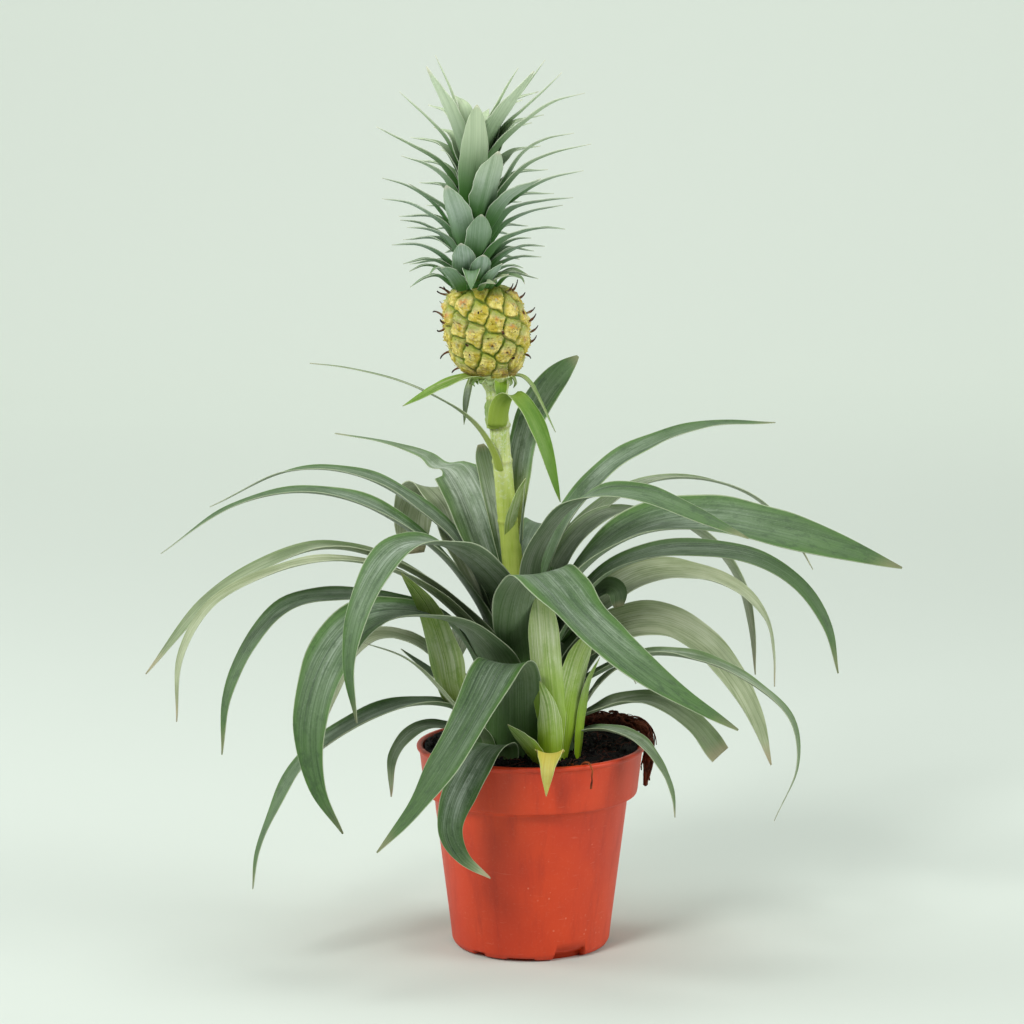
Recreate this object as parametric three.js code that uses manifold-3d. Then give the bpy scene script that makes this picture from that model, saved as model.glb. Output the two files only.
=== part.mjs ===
// A young pineapple plant with one small fruit, in a round nursery pot.
// Millimetres, +Z up. The origin is the middle of the pot's underside, and the front faces -Y.

import * as THREE from "three";
import { mergeVertices } from "three/addons/utils/BufferGeometryUtils.js";
import Module from "manifold-3d";

const wasm = await Module();
wasm.setup();

// ---- driving dimensions ----

const gap = 0.3; // air between pieces that touch

const potHeight = 93;
const rimRadius = 52;
const lipHeight = 1.6;
const lipSlope = 0.6;
const collarTopRadius = 50.8;
const collarFootRadius = 48.4;
const collarHeight = 22;
const collarStep = 2; // the collar's foot steps out over this height
const collarFoot = potHeight - collarHeight;
const bodyTopRadius = 44;
const bodyFootRadius = 36;
const footRound = 3; // height of the rounding between the wall and the underside
const standRadius = 31; // the flat disc that the pot stands on
const wall = 1.6;
const floorThickness = 2.4;
const floorCorner = 2; // height of the slope between the floor and the wall, inside
const potSides = 40;

const soilEdgeHeight = 84;
const soilEdgeRadius = 47.3;
const soilCrownHeight = 90;
const rootRadius = 0.45;

const axisX = -5; // the rosette grows a little left of the pot's middle
const stumpRadius = 26;
const stumpTop = 130;
const stumpTopRadius = 7;
const stalkRadius = 4.2;
const scarSwelling = 0.7; // a ring scar stands this far out of the stalk

const fruitFoot = 259.5;
const fruitHeight = 40;
const fruitRadius = 20;
const fruitX = -19;
const fruitEyes = 52;
const eyeReach = 6.5; // from an eye's middle to the groove round it
const eyeBulge = 1.8;
const grooveDepth = 1.6;

const plantHeight = 400;
const crownFoot = fruitFoot + fruitHeight - 1;
const crownLeaves = 40;
const lowLeafLength = 28;
const topLeafLength = 54;
const crownCoreHeight = plantHeight - crownFoot - topLeafLength + 8;

const firstRing = 8.2; // radius of the innermost leaf base
const ringStep = 1.45; // each ring of leaf bases is this much wider than the last
const leafThickness = 0.9;
const crownLeafThickness = 1.2;
const marginThickness = 0.45;
const goldenAngle = 137.508;

// ---- colours ----

const potRed = { color: 0xb94428, roughness: 0.5, metalness: 0 };
const peatBrown = { color: 0x2b2019, roughness: 1, metalness: 0 };
const rootBrown = { color: 0x6e4a30, roughness: 0.9, metalness: 0 };
const stalkGreen = { color: 0x9db06b, roughness: 0.6, metalness: 0 };
const fruitYellow = { color: 0xc9b552, roughness: 0.55, metalness: 0 };
const crownGreen = { color: 0x6f9078, roughness: 0.6, metalness: 0 };
const leafGreen = { color: 0x4d6b4a, roughness: 0.5, metalness: 0 };
const paleGreen = { color: 0x93a183, roughness: 0.6, metalness: 0 };
const freshGreen = { color: 0x7ba238, roughness: 0.55, metalness: 0 };

// ---- small helpers ----

const radians = THREE.MathUtils.degToRad;
const lerp = THREE.MathUtils.lerp;
const smooth = (t) => THREE.MathUtils.smoothstep(t, 0, 1);

function around(radius, bearing, z, x = 0) {
  const a = radians(bearing);
  return new THREE.Vector3(x + radius * Math.cos(a), radius * Math.sin(a), z);
}

function toSolid(geometry) {
  const bare = geometry.clone();
  bare.deleteAttribute("normal");
  bare.deleteAttribute("uv");
  const merged = mergeVertices(bare, 1e-3);
  return new wasm.Manifold(
    new wasm.Mesh({
      numProp: 3,
      vertProperties: new Float32Array(merged.attributes.position.array),
      triVerts: new Uint32Array(merged.index.array),
    }),
  );
}

function toGeometry(solid) {
  const mesh = solid.getMesh();
  const geometry = new THREE.BufferGeometry();
  geometry.setAttribute("position", new THREE.BufferAttribute(mesh.vertProperties, 3));
  geometry.setIndex(new THREE.BufferAttribute(mesh.triVerts, 1));
  geometry.computeVertexNormals();
  return geometry;
}

// The largest body of a solid, after its vertices are merged.
function largest(solid) {
  const settled = toSolid(toGeometry(solid));
  return settled.decompose().sort((a, b) => b.volume() - a.volume())[0];
}

// A closed skin over rings of points that all have the same even count. Each end is closed by a
// strip between the ring's first half and its second, which also fits a ring bent like a channel.
function skin(rings) {
  const count = rings[0].length;
  const positions = rings.flat().flatMap((p) => [p.x, p.y, p.z]);
  const index = [];
  for (let i = 0; i + 1 < rings.length; i++) {
    for (let j = 0; j < count; j++) {
      const a = i * count + j;
      const b = i * count + ((j + 1) % count);
      index.push(a, b, b + count, a, b + count, a + count);
    }
  }
  const last = (rings.length - 1) * count;
  for (let j = 0; j + 1 < count / 2; j++) {
    const k = count - 1 - j;
    index.push(j, k, j + 1, j + 1, k, k - 1);
    index.push(last + j, last + j + 1, last + k, last + j + 1, last + k - 1, last + k);
  }
  const geometry = new THREE.BufferGeometry();
  geometry.setAttribute("position", new THREE.Float32BufferAttribute(positions, 3));
  geometry.setIndex(index);
  geometry.computeVertexNormals();
  return geometry;
}

// ---- pot and soil ----

function turned(outline, sides) {
  const points = outline.map(([r, z]) => new THREE.Vector2(r, z));
  return new THREE.LatheGeometry(points, sides).rotateX(Math.PI / 2);
}

function makePot() {
  const outline = [
    [0, 0],
    [standRadius, 0],
    [bodyFootRadius - footRound / 2, footRound / 4],
    [bodyFootRadius, footRound],
    [bodyTopRadius, collarFoot - collarStep],
    [collarFootRadius, collarFoot],
    [collarTopRadius, potHeight - lipHeight - lipSlope],
    [rimRadius, potHeight - lipHeight],
    [rimRadius, potHeight],
    [collarTopRadius - wall, potHeight],
    [collarFootRadius - wall, collarFoot + wall],
    [bodyTopRadius - wall, collarFoot + wall - collarStep],
    [bodyFootRadius - wall, floorThickness + floorCorner],
    [standRadius + 1, floorThickness],
    [0, floorThickness],
  ];
  let pot = toSolid(turned(outline, potSides));
  // drainage notches: bearing, width and height of each
  const notches = [
    [301, 12, 4.6],
    [258, 8, 2],
    [222, 5, 3.4],
    [178, 9, 4],
    [136, 9, 4],
    [90, 9, 4],
    [45, 9, 4],
    [2, 9, 4],
  ];
  const reach = 10; // a cutter runs from under the floor's edge to well outside the wall
  const below = 1;
  for (const [bearing, width, height] of notches) {
    const cutter = new THREE.BoxGeometry(reach, width, height + below);
    cutter.translate(standRadius + reach / 2, 0, (height - below) / 2);
    cutter.rotateZ(radians(bearing));
    pot = pot.subtract(toSolid(cutter));
  }
  return toGeometry(pot);
}

// The soil fills the pot and rises in a low dome towards the stem.
function makeSoil() {
  const inner = wall + gap;
  const outline = [
    [0, floorThickness + gap],
    [standRadius, floorThickness + gap],
    [bodyFootRadius - inner - gap, floorThickness + floorCorner + gap],
    [bodyTopRadius - inner, collarFoot + wall - collarStep],
    [collarFootRadius - inner, collarFoot + wall + gap],
    [soilEdgeRadius, soilEdgeHeight],
    [40, lerp(soilEdgeHeight, soilCrownHeight, 0.6)],
    [32, lerp(soilEdgeHeight, soilCrownHeight, 0.9)],
    [stumpRadius + 2, soilCrownHeight],
    [0, soilCrownHeight],
  ];
  return toSolid(turned(outline, potSides)).subtract(stemSolid(gap));
}

// ---- roots on the surface ----

// One thin root lies on the soil, bends over the rim and hangs down the collar.
function makeRootStrand() {
  const overRim = potHeight + 1.1;
  const line = new THREE.CatmullRomCurve3([
    new THREE.Vector3(17, -33, soilCrownHeight + 1.2),
    new THREE.Vector3(21, -39, soilCrownHeight + 1),
    new THREE.Vector3(24, -44, overRim),
    new THREE.Vector3(26, -46.6, overRim),
    new THREE.Vector3(26.4, -47.6, potHeight - 2),
    new THREE.Vector3(26.2, -47, potHeight - 12),
  ]);
  const section = new THREE.Shape();
  section.absarc(0, 0, rootRadius, 0, 2 * Math.PI);
  return new THREE.ExtrudeGeometry(section, { extrudePath: line, steps: 12, curveSegments: 3 });
}

// A clump of roots and fibre lies on the rim at the right back and hangs down outside it.
// Each row is a bearing, a distance from the pot's middle, a height and the clump's half-thickness.
function makeRootTuft() {
  const rows = [
    [66, 43, potHeight + 1.2, 1.6],
    [54, 46, potHeight + 4.2, 3.2],
    [40, 48, potHeight + 5, 3.7],
    [28, 51, potHeight + 4.8, 3.5],
    [20, 55.4, potHeight + 2.6, 3.1],
    [16, 56.6, potHeight - 6, 2.8],
    [15, 55.4, potHeight - 15, 2.2],
    [15, 54.6, potHeight - 23, 1.2],
  ];
  const line = new THREE.CatmullRomCurve3(rows.map(([bearing, r, z]) => around(r, bearing, z)));
  const rings = rows.map(([bearing, , , thick], i) => {
    const middle = line.getPoint(i / (rows.length - 1));
    const along = line.getTangent(i / (rows.length - 1));
    const side = around(1, bearing, 0);
    side.addScaledVector(along, -side.dot(along)).normalize();
    const up = along.clone().cross(side);
    return Array.from({ length: 8 }, (_, j) => {
      const a = (j * Math.PI) / 4;
      const r = thick * (1 + 0.12 * Math.sin(5 * j + 2 * i)); // a lumpy outline
      const point = middle.clone().addScaledVector(side, r * Math.cos(a));
      return point.addScaledVector(up, r * Math.sin(a));
    });
  });
  return toSolid(skin(rings));
}

// ---- stem ----

// Each row is a height, the stem's middle there and its radius: a stout foot that thins into the
// flower stalk, which leans left.
const stemRows = [
  [50, axisX, 9],
  [80, axisX, 21],
  [soilCrownHeight + 4, axisX, stumpRadius - 1.5],
  [stumpTop, axisX, stumpTopRadius],
  [150, -5.5, 6],
  [175, -8.1, 4.4],
  [200, -10.9, stalkRadius],
  [212, -12, stalkRadius],
  [219, -12.7, stalkRadius + scarSwelling],
  [226, -13.3, stalkRadius],
  [245, -14.8, stalkRadius],
  [fruitFoot - gap, -15.6, stalkRadius],
];

function stemSolid(extra) {
  const sides = 14;
  const rings = stemRows.map(([z, x, radius]) =>
    Array.from({ length: sides }, (_, j) => around(radius + extra, (j * 360) / sides, z, x)),
  );
  return toSolid(skin(rings));
}

// ---- leaves ----

// The width along a leaf: it widens from its base, stays broad, and runs out to a point.
function leafWidth(leaf, v) {
  const rise = lerp(leaf.baseShare ?? 1, 1, smooth(v / 0.35));
  const narrowing = leaf.narrowing ?? 0.4;
  const along = Math.max(0, (v - narrowing) / (1 - narrowing));
  const taper = 1 - (1 - (leaf.tipShare ?? 0.03)) * Math.pow(along, leaf.point ?? 1.6);
  return leaf.width * rise * taper;
}

// A leaf is a channelled blade: an arc-shaped section carried along a curve.
// The arc's radius is the ring's at the foot, so that leaf bases nest, and wider in the blade.
function leafRings(leaf, extra) {
  const { stations } = leaf;
  const curve = new THREE.CatmullRomCurve3(leaf.points, false, "centripetal");
  curve.arcLengthDivisions = 400;
  const across = leaf.across ?? [-1, -0.4, 0.4, 1];
  const rings = [];
  const up = new THREE.Vector3();
  const side = new THREE.Vector3();
  for (let i = 0; i <= stations; i++) {
    const v = i / stations;
    const middle = curve.getPointAt(v);
    const tangent = curve.getTangentAt(v);
    if (i === 0) middle.addScaledVector(tangent, -extra);
    if (i === stations) middle.addScaledVector(tangent, extra);
    const heading = radians(lerp(leaf.bearing, leaf.heading, smooth(v / 0.6)));
    side.set(-Math.sin(heading), Math.cos(heading), 0);
    side.addScaledVector(tangent, -side.dot(tangent)).normalize();
    const roll = leaf.roll ?? [0, 0];
    const turn = v < 0.5 ? lerp(0, roll[0], smooth(v * 2)) : lerp(roll[0], roll[1], v * 2 - 1);
    side.applyAxisAngle(tangent, radians(turn));
    up.crossVectors(tangent, side);
    const width = leafWidth(leaf, v) + 2 * extra;
    const bend = lerp(leaf.ringRadius, leaf.width * (leaf.openness ?? 1), smooth(v / 0.4));
    const half = Math.min(1.2, width / 2 / bend);
    const top = [];
    const under = [];
    for (const u of across) {
      const a = u * half;
      const edge = u * u;
      const body = lerp(leaf.thickness ?? leafThickness, marginThickness, edge);
      const thick = lerp(body, marginThickness, v);
      const place = (depth) => {
        const point = middle.clone().addScaledVector(side, (bend + depth) * Math.sin(a));
        return point.addScaledVector(up, bend - (bend + depth) * Math.cos(a));
      };
      top.push(place(-extra));
      under.push(place(thick + extra));
    }
    rings.push([...under, ...top.reverse()]);
  }
  return rings;
}

function leafSolid(leaf, extra = 0) {
  return toSolid(skin(leafRings(leaf, extra)));
}

function rosetteLeaf({ ring, bearing, leave, path, ...rest }) {
  const ringRadius = firstRing + ring * ringStep;
  const climb = (stumpRadius - ringRadius) / (stumpRadius - stumpTopRadius);
  const foot = lerp(soilCrownHeight + 4.6, stumpTop + 2, Math.max(0, climb));
  const points = [
    around(ringRadius, bearing, foot, axisX),
    around(ringRadius, bearing, Math.max(leave, foot + 6), axisX),
    ...path.map(([x, y, z]) => new THREE.Vector3(x, y, z)),
  ];
  const tip = points.at(-1);
  const toTip = THREE.MathUtils.radToDeg(Math.atan2(tip.y - points[2].y, tip.x - points[2].x));
  const swing = ((toTip - bearing + 540) % 360) - 180;
  return {
    ...rest,
    bearing,
    heading: rest.heading ?? bearing + swing,
    ringRadius,
    points,
    baseShare: Math.min(1, (1.35 * ringRadius) / rest.width),
  };
}

// A leaf that stands on the stalk or in the soil, away from the rosette's rings.
function freeLeaf({ bearing, path, hug = 5, ...rest }) {
  const points = path.map(([x, y, z]) => new THREE.Vector3(x, y, z));
  return { heading: bearing, baseShare: 0.8, ...rest, bearing, ringRadius: hug, points };
}

// Each leaf: its ring and bearing on the stump, the height where it leaves the bundle, its width,
// and the points that its middle passes through. It keeps its width up to the share "narrowing" of
// its length and then runs out, the later the higher "point" is. "roll" is its twist in degrees
// halfway and at the tip, and "stations" is the number of steps along it.
const rosette = [
  { name: "leaf_right_10", ring: 2, bearing: 285, leave: 134, width: 35, roll: [2, 20], narrowing: 0.38,
    point: 1.4, openness: 2.4, stations: 14,
    path: [[-4, -26, 154], [-1, -35, 171.5], [4, -44, 179], [11, -54, 174.5], [19, -63, 166],
      [33, -76, 154.5], [56, -91, 139], [87.5, -102, 121.4]] },
  { name: "leaf_left_12", ring: 12, bearing: 262, leave: 112, width: 26, narrowing: 0.45, openness: 1.8,
    stations: 10,
    path: [[-9, -31, 132], [-13, -43, 138], [-23, -60, 123],
      [-36, -73, 103], [-51, -82, 82], [-67, -87, 64]] },
  { name: "leaf_left_08", ring: 8, bearing: 236, leave: 130, width: 27, roll: [-14, -22], narrowing: 0.45,
    stations: 11,
    path: [[-30, -30, 152], [-54, -37, 160], [-73, -45, 158], [-88, -60, 143],
      [-96, -71, 116], [-93, -76, 90], [-82, -78, 70]] },
  { name: "leaf_left_06", ring: 0, bearing: 240, leave: 150, width: 25,
    stations: 11,
    path: [[-20, -22, 174], [-38, -37, 190], [-58, -54, 191],
      [-73, -66, 170], [-79, -72, 144], [-76, -73, 118]] },
  { name: "leaf_right_04", ring: 3, bearing: 342, leave: 142, width: 34, roll: [20, 42], narrowing: 0.5,
    stations: 10,
    path: [[23, -9, 174], [48, -17, 194], [75, -26, 200],
      [105, -34, 197], [135, -42, 190], [162, -48, 182]] },
  { name: "leaf_right_02", ring: 1, bearing: 325, leave: 148, width: 22, roll: [8, 34],
    stations: 10,
    path: [[2, -12, 178], [13, -21, 200], [28, -32, 212], [47, -45, 214], [69, -58, 208], [93, -72, 199]] },
  { name: "leaf_left_01", ring: 0, bearing: 128, leave: 150, width: 28, roll: [-14, -6], narrowing: 0.48,
    point: 0.22, heading: 112, stations: 14,
    path: [[-21.5, 15, 190], [-28.5, 26, 206], [-35, 36, 214], [-42, 44, 214], [-49, 60, 217],
      [-68, 82, 220], [-93.6, 110, 220.5]] },
  { name: "leaf_left_02", ring: 2, bearing: 148, leave: 150, width: 31, narrowing: 0.66, heading: 112,
    tipShare: 0.3, stations: 11,
    path: [[-28, 17, 184], [-34, 28, 198], [-43, 38, 205], [-50, 45, 200], [-54, 48, 188], [-54, 50, 172]] },
  { name: "leaf_left_03", ring: 3, bearing: 178, leave: 148, width: 18,
    stations: 10, path: [[-31, 3, 182], [-50, 8, 200], [-78, 22, 213], [-110, 36, 213], [-149, 50, 194]] },
  { name: "leaf_left_04", ring: 4, bearing: 198, leave: 144, width: 20, roll: [-6, 0],
    stations: 10,
    path: [[-35, -5, 174], [-54, -8, 192], [-79, -9, 206],
      [-107, -9, 210], [-137, -9, 202], [-166, -10, 182]] },
  { name: "leaf_left_05", ring: 5, bearing: 214, leave: 136, width: 18, roll: [0, -40],
    stations: 10,
    path: [[-39, -13, 164], [-68, -20, 182], [-94, -24, 187],
      [-122, -28, 178], [-145, -31, 163], [-171, -35, 132]] },
  { name: "leaf_left_15", ring: 6, bearing: 216, leave: 134, width: 13, roll: [0, -30],
    stations: 11,
    path: [[-38, -21, 161], [-62, -30, 178], [-90, -38, 184], [-118, -44, 178],
      [-141, -47, 165], [-154, -51, 143], [-156, -52, 114]] },
  { name: "leaf_left_07", ring: 7, bearing: 184, leave: 126, width: 18, roll: [-8, -24],
    stations: 10,
    path: [[-38, -3, 150], [-59, -7, 159], [-85, -14, 163], [-109, -22, 160],
      [-125, -30, 144], [-135, -36, 122], [-137.5, -38, 96]] },
  { name: "leaf_left_09", ring: 9, bearing: 160, leave: 112, width: 14, roll: [-4, -82], point: 2.4,
    stations: 10,
    path: [[-38, 9, 126], [-53, 9, 138], [-69, 14, 140], [-83, 17, 131], [-91, 18, 113], [-95, 18, 98]] },
  { name: "leaf_left_10", ring: 11, bearing: 208, leave: 101, width: 19,
    stations: 11,
    path: [[-35, -22, 114], [-56, -34, 118], [-82, -45, 109], [-102, -51, 94],
      [-114, -55, 74], [-121, -57, 56], [-123, -58, 40]] },
  { name: "leaf_left_11", ring: 13, bearing: 184, leave: 98, width: 13, roll: [-10, -24], narrowing: 0.1,
    stations: 7, path: [[-44, -8, 103], [-54, -15, 101], [-62, -20, 91], [-63, -22, 73]] },
  { name: "leaf_left_14", ring: 9, bearing: 215, leave: 104, width: 15.5, roll: [42, 56], narrowing: 0.45,
    point: 1.7, openness: 1.6,
    stations: 9, path: [[-34, -21, 118], [-39, -26, 140], [-46, -31, 161], [-57.5, -37, 178]] },
  { name: "leaf_left_18", ring: 11, bearing: 140, leave: 104, width: 11,
    stations: 7, path: [[-36, 20, 114], [-60, 34, 130]] },
  { name: "leaf_left_17", ring: 13, bearing: 238, leave: 99, width: 7,
    stations: 7, path: [[-34, -36, 118], [-54, -43, 140], [-76, -50, 150]] },
  { name: "leaf_left_13", ring: 14, bearing: 252, leave: 97, width: 15, roll: [0, -20], narrowing: 0.3,
    point: 1, openness: 1.5, stations: 9,
    path: [[-21, -45, 99], [-27.5, -55, 91], [-34, -60, 78], [-35.5, -61, 66], [-30, -61, 55],
      [-18, -62, 46]] },
  { name: "leaf_right_01", ring: 0, bearing: 22, leave: 156, width: 17, roll: [0, 16], narrowing: 0.5,
    stations: 9, path: [[14, 11, 191], [34, 25, 214], [55, 40, 225], [82, 60, 231], [116, 85, 229]] },
  { name: "leaf_right_05", ring: 2, bearing: 35, leave: 146, width: 18,
    stations: 11,
    path: [[16, 17, 178], [35, 30, 193], [60, 46, 191], [85, 59, 175],
      [99, 67, 155], [105, 71, 132], [107, 72, 110]] },
  { name: "leaf_right_03", ring: 4, bearing: 62, leave: 144, width: 13,
    stations: 10,
    path: [[22, 37, 184], [49, 55, 203], [79, 72, 204], [108, 86, 192], [129, 96, 168], [136, 99, 156]] },
  { name: "leaf_right_06", ring: 5, bearing: 4, leave: 134, width: 20, roll: [12, 44],
    stations: 10,
    path: [[31, 4, 168], [54, 5, 179], [77, 4, 181], [103, 2, 177],
      [122, -1, 165], [134, -3, 147], [139, -4, 126]] },
  { name: "leaf_right_07", ring: 6, bearing: 40, leave: 130, width: 24, roll: [14, 44],
    stations: 10,
    path: [[34, 24, 155], [55, 36, 164], [79, 47, 162.5], [99, 56, 153],
      [111, 61, 139], [115, 63, 122], [115.5, 63, 106]] },
  { name: "leaf_right_08", ring: 7, bearing: 20, leave: 122, width: 24, roll: [40, 72],
    stations: 10,
    path: [[34, 12, 141], [57, 19, 145], [78, 24, 135], [94, 28, 117], [105, 31, 97], [112, 33, 75]] },
  { name: "leaf_right_09", ring: 8, bearing: 345, leave: 114, width: 15,
    stations: 11,
    path: [[31, -11, 128], [53, -15, 137], [78, -20, 135], [100, -25, 125],
      [116, -28, 110], [119, -29, 89], [109, -30, 64]] },
  { name: "leaf_right_11", ring: 10, bearing: 336, leave: 102, width: 16, roll: [10, 34], tipShare: 0.8,
    stations: 9, path: [[33, -15, 113], [54, -20, 117], [71, -24, 108], [84, -27, 93]] },
  { name: "leaf_right_12", ring: 12, bearing: 330, leave: 98, width: 12,
    stations: 9, path: [[32, -25, 105], [48, -33, 101], [58, -37, 90], [63, -39, 78], [64, -40, 68]] },
  { name: "leaf_right_13", ring: 12, bearing: 4, leave: 101, width: 11,
    stations: 7, path: [[30, 2, 119], [42, 2, 128], [48, 2, 120]] },
  { name: "leaf_right_15", ring: 9, bearing: 50, leave: 112, width: 14,
    stations: 7, path: [[23, 29, 140], [36, 42, 160], [48, 52, 158]] },
  { name: "leaf_right_14", ring: 10, bearing: 22, leave: 104, width: 9,
    stations: 7, path: [[28, 17, 128], [48, 26, 144]] },
  { name: "leaf_back_1", ring: 1, bearing: 78, leave: 150, width: 24,
    stations: 9, path: [[2, 28, 178], [7, 54, 185], [12, 84, 174], [16, 112, 148]] },
  { name: "leaf_back_2", ring: 5, bearing: 110, leave: 140, width: 22,
    stations: 9, path: [[-17, 32, 172], [-25, 60, 188], [-31, 92, 180], [-35, 120, 152]] },
  { name: "leaf_back_3", ring: 8, bearing: 86, leave: 128, width: 24,
    stations: 9, path: [[-2, 38, 154], [2, 64, 162], [4, 92, 148], [5, 107, 120], [5, 110, 92]] },
  { name: "leaf_back_4", ring: 10, bearing: 116, leave: 112, width: 22,
    stations: 9, path: [[-18, 38, 132], [-26, 60, 136], [-32, 84, 126], [-36, 100, 108]] },
  { name: "leaf_back_5", ring: 11, bearing: 80, leave: 106, width: 20,
    stations: 9, path: [[2, 40, 122], [10, 62, 127], [18, 82, 114], [22, 90, 92], [23, 92, 66]] },
];

const stalkLeaves = [
  { name: "stalk_leaf_1", bearing: 215, width: 6.5, hug: 4, roll: [-20, -30], stations: 8,
    path: [[-19, -4, 260], [-29.5, -9, 261.4], [-40.5, -13, 257.8], [-49, -17, 253.8], [-57, -20, 249.8]] },
  { name: "stalk_leaf_2", bearing: 235, heading: 215, width: 6.4, hug: 4.6, narrowing: 0.05, point: 0.6,
    roll: [-16, -30], stations: 12,
    path: [[-14.2, -2.6, 217], [-16.4, -4.6, 226], [-20.6, -6.2, 234.4], [-25, -7.2, 240.2],
      [-31.5, -8, 246.2], [-41, -10, 252.3], [-58.3, -13, 260.4], [-82, -16, 266.6], [-98, -18, 268.7]] },
  { name: "stalk_leaf_3", bearing: 230, width: 3.4, roll: [-20, -30], stations: 7,
    path: [[-23, 1, 262], [-26.5, 1, 259.4], [-28.8, 1, 252], [-30.2, 1, 238.6]] },
  { name: "stalk_leaf_4", bearing: 330, heading: 345, width: 3.8, stations: 9,
    path: [[-12, 2, 260.4], [-5, 5, 260.7], [-1, 6, 257.8], [4, 8, 249], [11.2, 9, 234.3]] },
  { name: "stalk_leaf_5", bearing: 285, heading: 305, width: 8.2, hug: 5.6, narrowing: 0.5, roll: [10, 20],
    baseShare: 1.3, stations: 12,
    path: [[-13.3, -5.4, 238.6], [-12.4, -6, 245], [-10.2, -7.6, 251.4], [-6.2, -10.6, 254.6],
      [-1, -15, 249.6], [5, -19, 234.6], [12.9, -22, 207]] },
  { name: "stalk_leaf_6", bearing: 50, width: 14, hug: 6, narrowing: 0.72, point: 2.2, tipShare: 0.1,
    heading: 60, roll: [14, 34], stations: 11,
    path: [[-6.5, 6, 186], [-6.3, 7, 204], [-5, 9, 221.6], [-0.5, 14, 239],
      [6.4, 20, 251], [14, 26, 260], [21.5, 32, 266.3]] },
  { name: "stalk_leaf_7", bearing: 225, width: 8.6, hug: 5.4, narrowing: 0.55, point: 2, tipShare: 0.4,
    baseShare: 1, stations: 5, path: [[-18, -3.8, 237.6], [-18.4, -4, 244], [-18.6, -4.2, 250.6]] },
  { name: "stalk_leaf_8", bearing: 300, width: 5.6, hug: 4.8, baseShare: 1, stations: 8,
    path: [[-9.6, -1.5, 186], [-9, -4.4, 195], [-7.4, -5.8, 202], [-5.2, -7.2, 209.6], [-2.6, -9, 216]] },
  { name: "stalk_leaf_9", bearing: 0, width: 6, hug: 5.5,
    stations: 7, path: [[-3.4, 0.6, 172], [-2.6, 1, 192], [-2, 1.6, 212.4]] },
  { name: "stalk_leaf_10", bearing: 135, heading: 100, width: 9.5, hug: 6, narrowing: 0.75, point: 3,
    tipShare: 0.3, stations: 8,
    path: [[-11.6, 8, 170], [-15.4, 12, 196], [-19.4, 15, 214], [-22.8, 18, 227.6]] },
];

const offsetLeaves = [
  { name: "offset_leaf_1", bearing: 280, width: 12, hug: 6.4, narrowing: 0.3, point: 1.7, baseShare: 0.75,
    stations: 8, path: [[9, -31.5, 90.6], [8.4, -35, 108], [7, -36.6, 119.5], [3.6, -38, 129.5]] },
  { name: "offset_leaf_2", bearing: 275, width: 14.5, hug: 7, narrowing: 0.7, point: 2, baseShare: 0.45,
    stations: 8, path: [[11.4, -27.5, 91], [8.6, -29.5, 117], [6.2, -30, 142], [4, -29, 170]] },
  { name: "offset_leaf_3", bearing: 285, width: 12, hug: 7, narrowing: 0.65, point: 2.2, baseShare: 0.45,
    stations: 8, path: [[13.6, -25.5, 91], [16.6, -26.6, 118.6], [21, -27.6, 137], [27, -28, 151]] },
  { name: "offset_leaf_4", bearing: 300, width: 4.6, hug: 5, baseShare: 0.7,
    stations: 8, path: [[20.5, -24, 91], [22.6, -25, 112], [25.4, -26, 127], [30.4, -27, 138]] },
  { name: "offset_leaf_5", bearing: 268, width: 14, hug: 9, narrowing: 0.1, point: 1.1, baseShare: 1,
    stations: 7, path: [[8, -39, 95.4], [8, -49, 99], [7, -56.5, 94], [6.4, -58.5, 82]] },
];

// ---- fruit ----

// The eyes sit on one spiral, each turned by the golden angle from the last.
function eyePlace(i) {
  const t = (i + 0.5) / fruitEyes;
  return { bearing: radians(i * goldenAngle), height: lerp(-0.94, 0.94, t) };
}

function fruitRadiusAt(h) {
  return fruitRadius * Math.pow(Math.max(0, 1 - Math.pow(Math.abs(h), 3.4)), 1 / 2.4);
}

function makeFruit(extra) {
  const eyes = Array.from({ length: fruitEyes }, (_, i) => eyePlace(i));
  const rings = [];
  const rows = 14;
  const columns = 26;
  for (let i = 0; i <= rows; i++) {
    const h = -Math.cos((Math.PI * (i + 0.35)) / (rows + 0.7));
    const ring = [];
    for (let j = 0; j < columns; j++) {
      const a = (j * 2 * Math.PI) / columns;
      let nearest = 99;
      for (const eye of eyes) {
        const turn = Math.atan2(Math.sin(a - eye.bearing), Math.cos(a - eye.bearing));
        const distance = Math.hypot(turn * fruitRadius, ((h - eye.height) * fruitHeight) / 2);
        nearest = Math.min(nearest, distance);
      }
      const bump = eyeBulge * smooth(1 - nearest / eyeReach) - grooveDepth;
      const r = Math.max(1.5, fruitRadiusAt(h) + bump) + extra;
      const z = fruitFoot + fruitHeight / 2 + h * (fruitHeight / 2 + extra);
      ring.push(new THREE.Vector3(fruitX + r * Math.cos(a), r * Math.sin(a), z));
    }
    rings.push(ring);
  }
  return toSolid(skin(rings));
}

// ---- crown ----

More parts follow.
